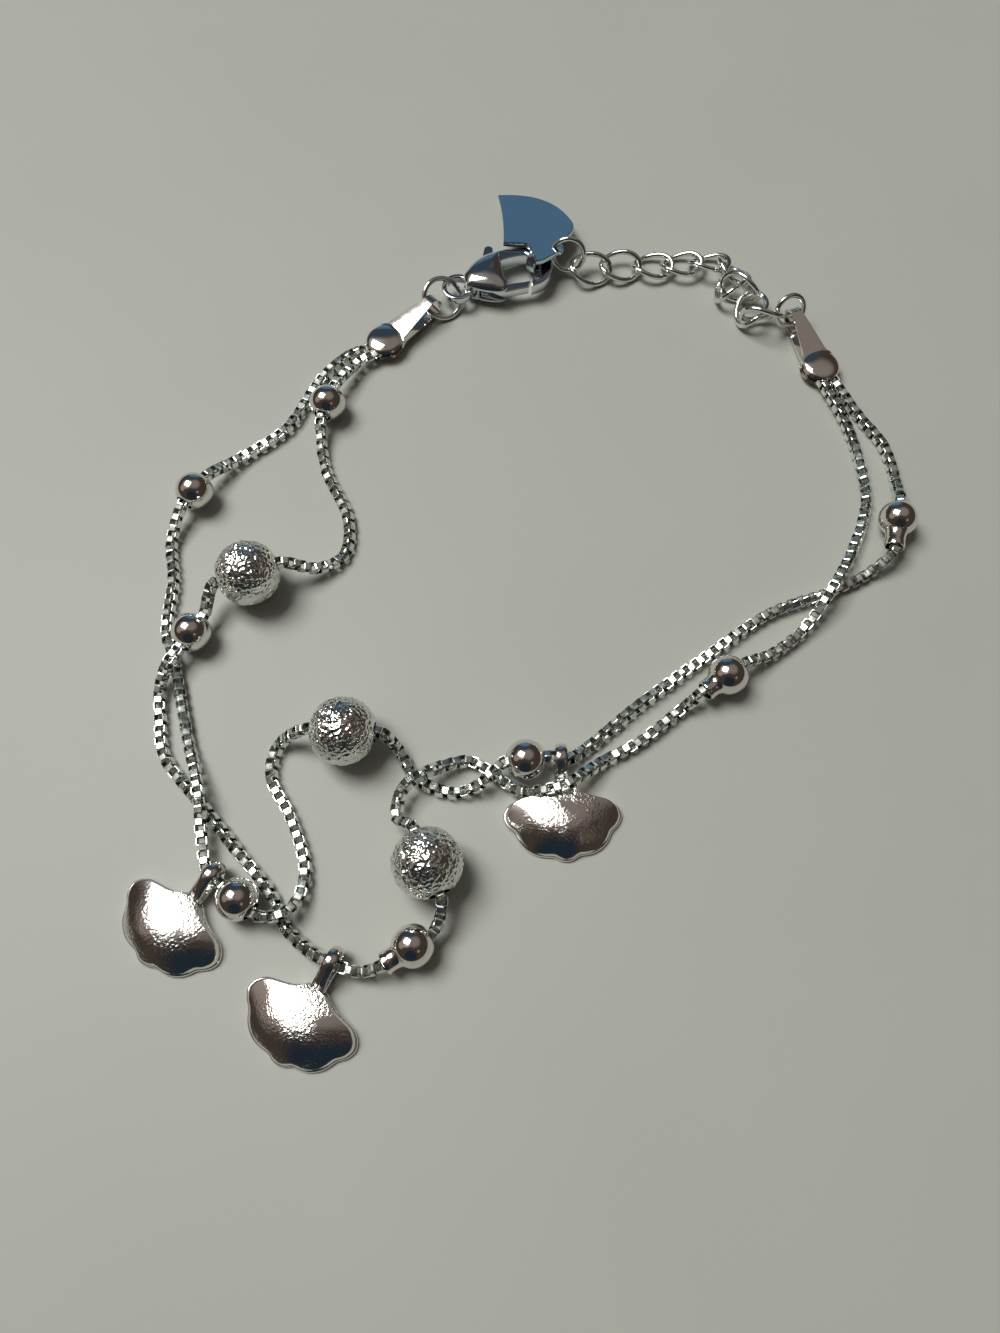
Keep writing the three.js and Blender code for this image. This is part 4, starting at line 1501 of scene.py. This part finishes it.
def add_lamp(radiance):
    """A soft panel of light facing the bracelet; radiance is how bright its face looks."""
    data = bpy.data.lights.new("lamp", "AREA")
    data.shape = "RECTANGLE"
    data.size, data.size_y = LAMP["size"]
    data.color = linear(LAMP["colour"])[:3]
    data.energy = radiance * math.pi * data.size * data.size_y
    lamp = bpy.data.objects.new("lamp", data)
    lamp.location = toward(*LAMP["toward"]) * LAMP["distance"]
    lamp.rotation_euler = lamp.location.to_track_quat("Z", "Y").to_euler()
    lamp.visible_camera = False
    bpy.context.scene.collection.objects.link(lamp)


def toward(azimuth, tilt):
    """A direction: degrees anticlockwise from +X seen from above, and degrees from straight up."""
    leaning = math.radians(tilt)
    return polar(azimuth, math.sin(leaning)) + Vector((0.0, 0.0, math.cos(leaning)))


def room_world():
    """A dim room: brown all round, with a few broad patches of other colours."""
    world = bpy.data.worlds.new("dim_room")
    world.use_nodes = True
    tree = world.node_tree
    background = tree.nodes["Background"]
    direction = add_node(tree, "ShaderNodeTexCoord").outputs["Generated"]
    colour = linear(ROOM_COLOUR)
    for azimuth, tilt, patch, full, gone in ROOM_PATCHES:
        facing = add_node(
            tree,
            "ShaderNodeVectorMath",
            {0: direction, 1: toward(azimuth, tilt)},
            operation="DOT_PRODUCT",
        )
        share = add_node(
            tree,
            "ShaderNodeMapRange",
            {
                "Value": facing.outputs["Value"],
                "From Min": math.cos(math.radians(gone)),
                "From Max": math.cos(math.radians(full)),
            },
            interpolation_type="SMOOTHSTEP",
        )
        mixed = add_node(
            tree,
            "ShaderNodeMix",
            {"Factor": share.outputs["Result"], MIX_A: colour, MIX_B: linear(patch)},
            data_type="RGBA",
        )
        colour = mixed.outputs[MIX_OUT]
    tree.links.new(colour, background.inputs["Color"])
    background.inputs["Strength"].default_value = 1.0
    return world


def add_board():
    """The pale board, a hair below the bracelet's resting plane."""
    bm = bmesh.new()
    bmesh.ops.create_grid(bm, x_segments=4, y_segments=4, size=BOARD["half"])
    bmesh.ops.translate(bm, vec=(0, 0, -BOARD["drop"]), verts=bm.verts)
    mesh = bpy.data.meshes.new("board")
    bm.to_mesh(mesh)
    bm.free()
    mesh.materials.append(board_material())
    board = bpy.data.objects.new("board", mesh)
    bpy.context.scene.collection.objects.link(board)


def add_camera(lens, tilt):
    """The camera over the bracelet's near side, leaning towards its far side."""
    data = bpy.data.cameras.new("camera")
    data.lens = lens
    data.sensor_width = SENSOR
    data.clip_start, data.clip_end = CLIP
    camera = bpy.data.objects.new("camera", data)
    camera.location = Vector(CAMERA_AT) * MM
    camera.rotation_euler = (tilt, 0.0, 0.0)
    bpy.context.scene.collection.objects.link(camera)
    bpy.context.scene.camera = camera


class BRACELET_OT_studio(bpy.types.Operator):
    """Lays the board and sets the lamp, the room and the camera"""

    bl_idname = "bracelet.studio"
    bl_label = "Studio"

    def execute(self, context):
        studio = context.scene.bracelet_studio
        add_board()
        add_lamp(studio.key)
        add_camera(studio.lens, studio.tilt)
        context.scene.world = room_world()
        context.scene.view_settings.view_transform = "Standard"
        return {"FINISHED"}


# ---- Panel and registration ----


class BRACELET_PT_panel(bpy.types.Panel):
    """Lists the bracelet's settings and building steps"""

    bl_idname = "BRACELET_PT_panel"
    bl_label = "Bracelet"
    bl_space_type = "VIEW_3D"
    bl_region_type = "UI"
    bl_category = "Bracelet"

    def draw(self, context):
        for name, group in SETTINGS.items():
            box = self.layout.box()
            for key in group.__annotations__:
                box.prop(getattr(context.scene, name), key)
        for step in STEPS:
            self.layout.operator(step.bl_idname)


SETTINGS = {
    "bracelet_chain": ChainSettings,
    "bracelet_beads": BeadSettings,
    "bracelet_finish": FinishSettings,
    "bracelet_studio": StudioSettings,
}
STEPS = (
    BRACELET_OT_studio,
    BRACELET_OT_chains,
    BRACELET_OT_beads,
    BRACELET_OT_leaves,
    BRACELET_OT_caps,
    BRACELET_OT_clasp,
    BRACELET_OT_tag,
    BRACELET_OT_rings,
)


def register():
    """Registers the settings, then the operators and the panel that use them."""
    for name, group in SETTINGS.items():
        bpy.utils.register_class(group)
        setattr(bpy.types.Scene, name, PointerProperty(type=group))
    for step in (*STEPS, BRACELET_PT_panel):
        bpy.utils.register_class(step)


def unregister():
    """Takes away what register added, in the opposite order."""
    for step in (BRACELET_PT_panel, *reversed(STEPS)):
        bpy.utils.unregister_class(step)
    for name, group in reversed(SETTINGS.items()):
        delattr(bpy.types.Scene, name)
        bpy.utils.unregister_class(group)


def main():
    """Builds the whole bracelet."""
    register()
    bpy.ops.bracelet.studio()
    bpy.ops.bracelet.chains()
    bpy.ops.bracelet.beads()
    bpy.ops.bracelet.leaves()
    bpy.ops.bracelet.caps()
    bpy.ops.bracelet.clasp()
    bpy.ops.bracelet.tag()
    bpy.ops.bracelet.rings()


if __name__ == "__main__":
    main()
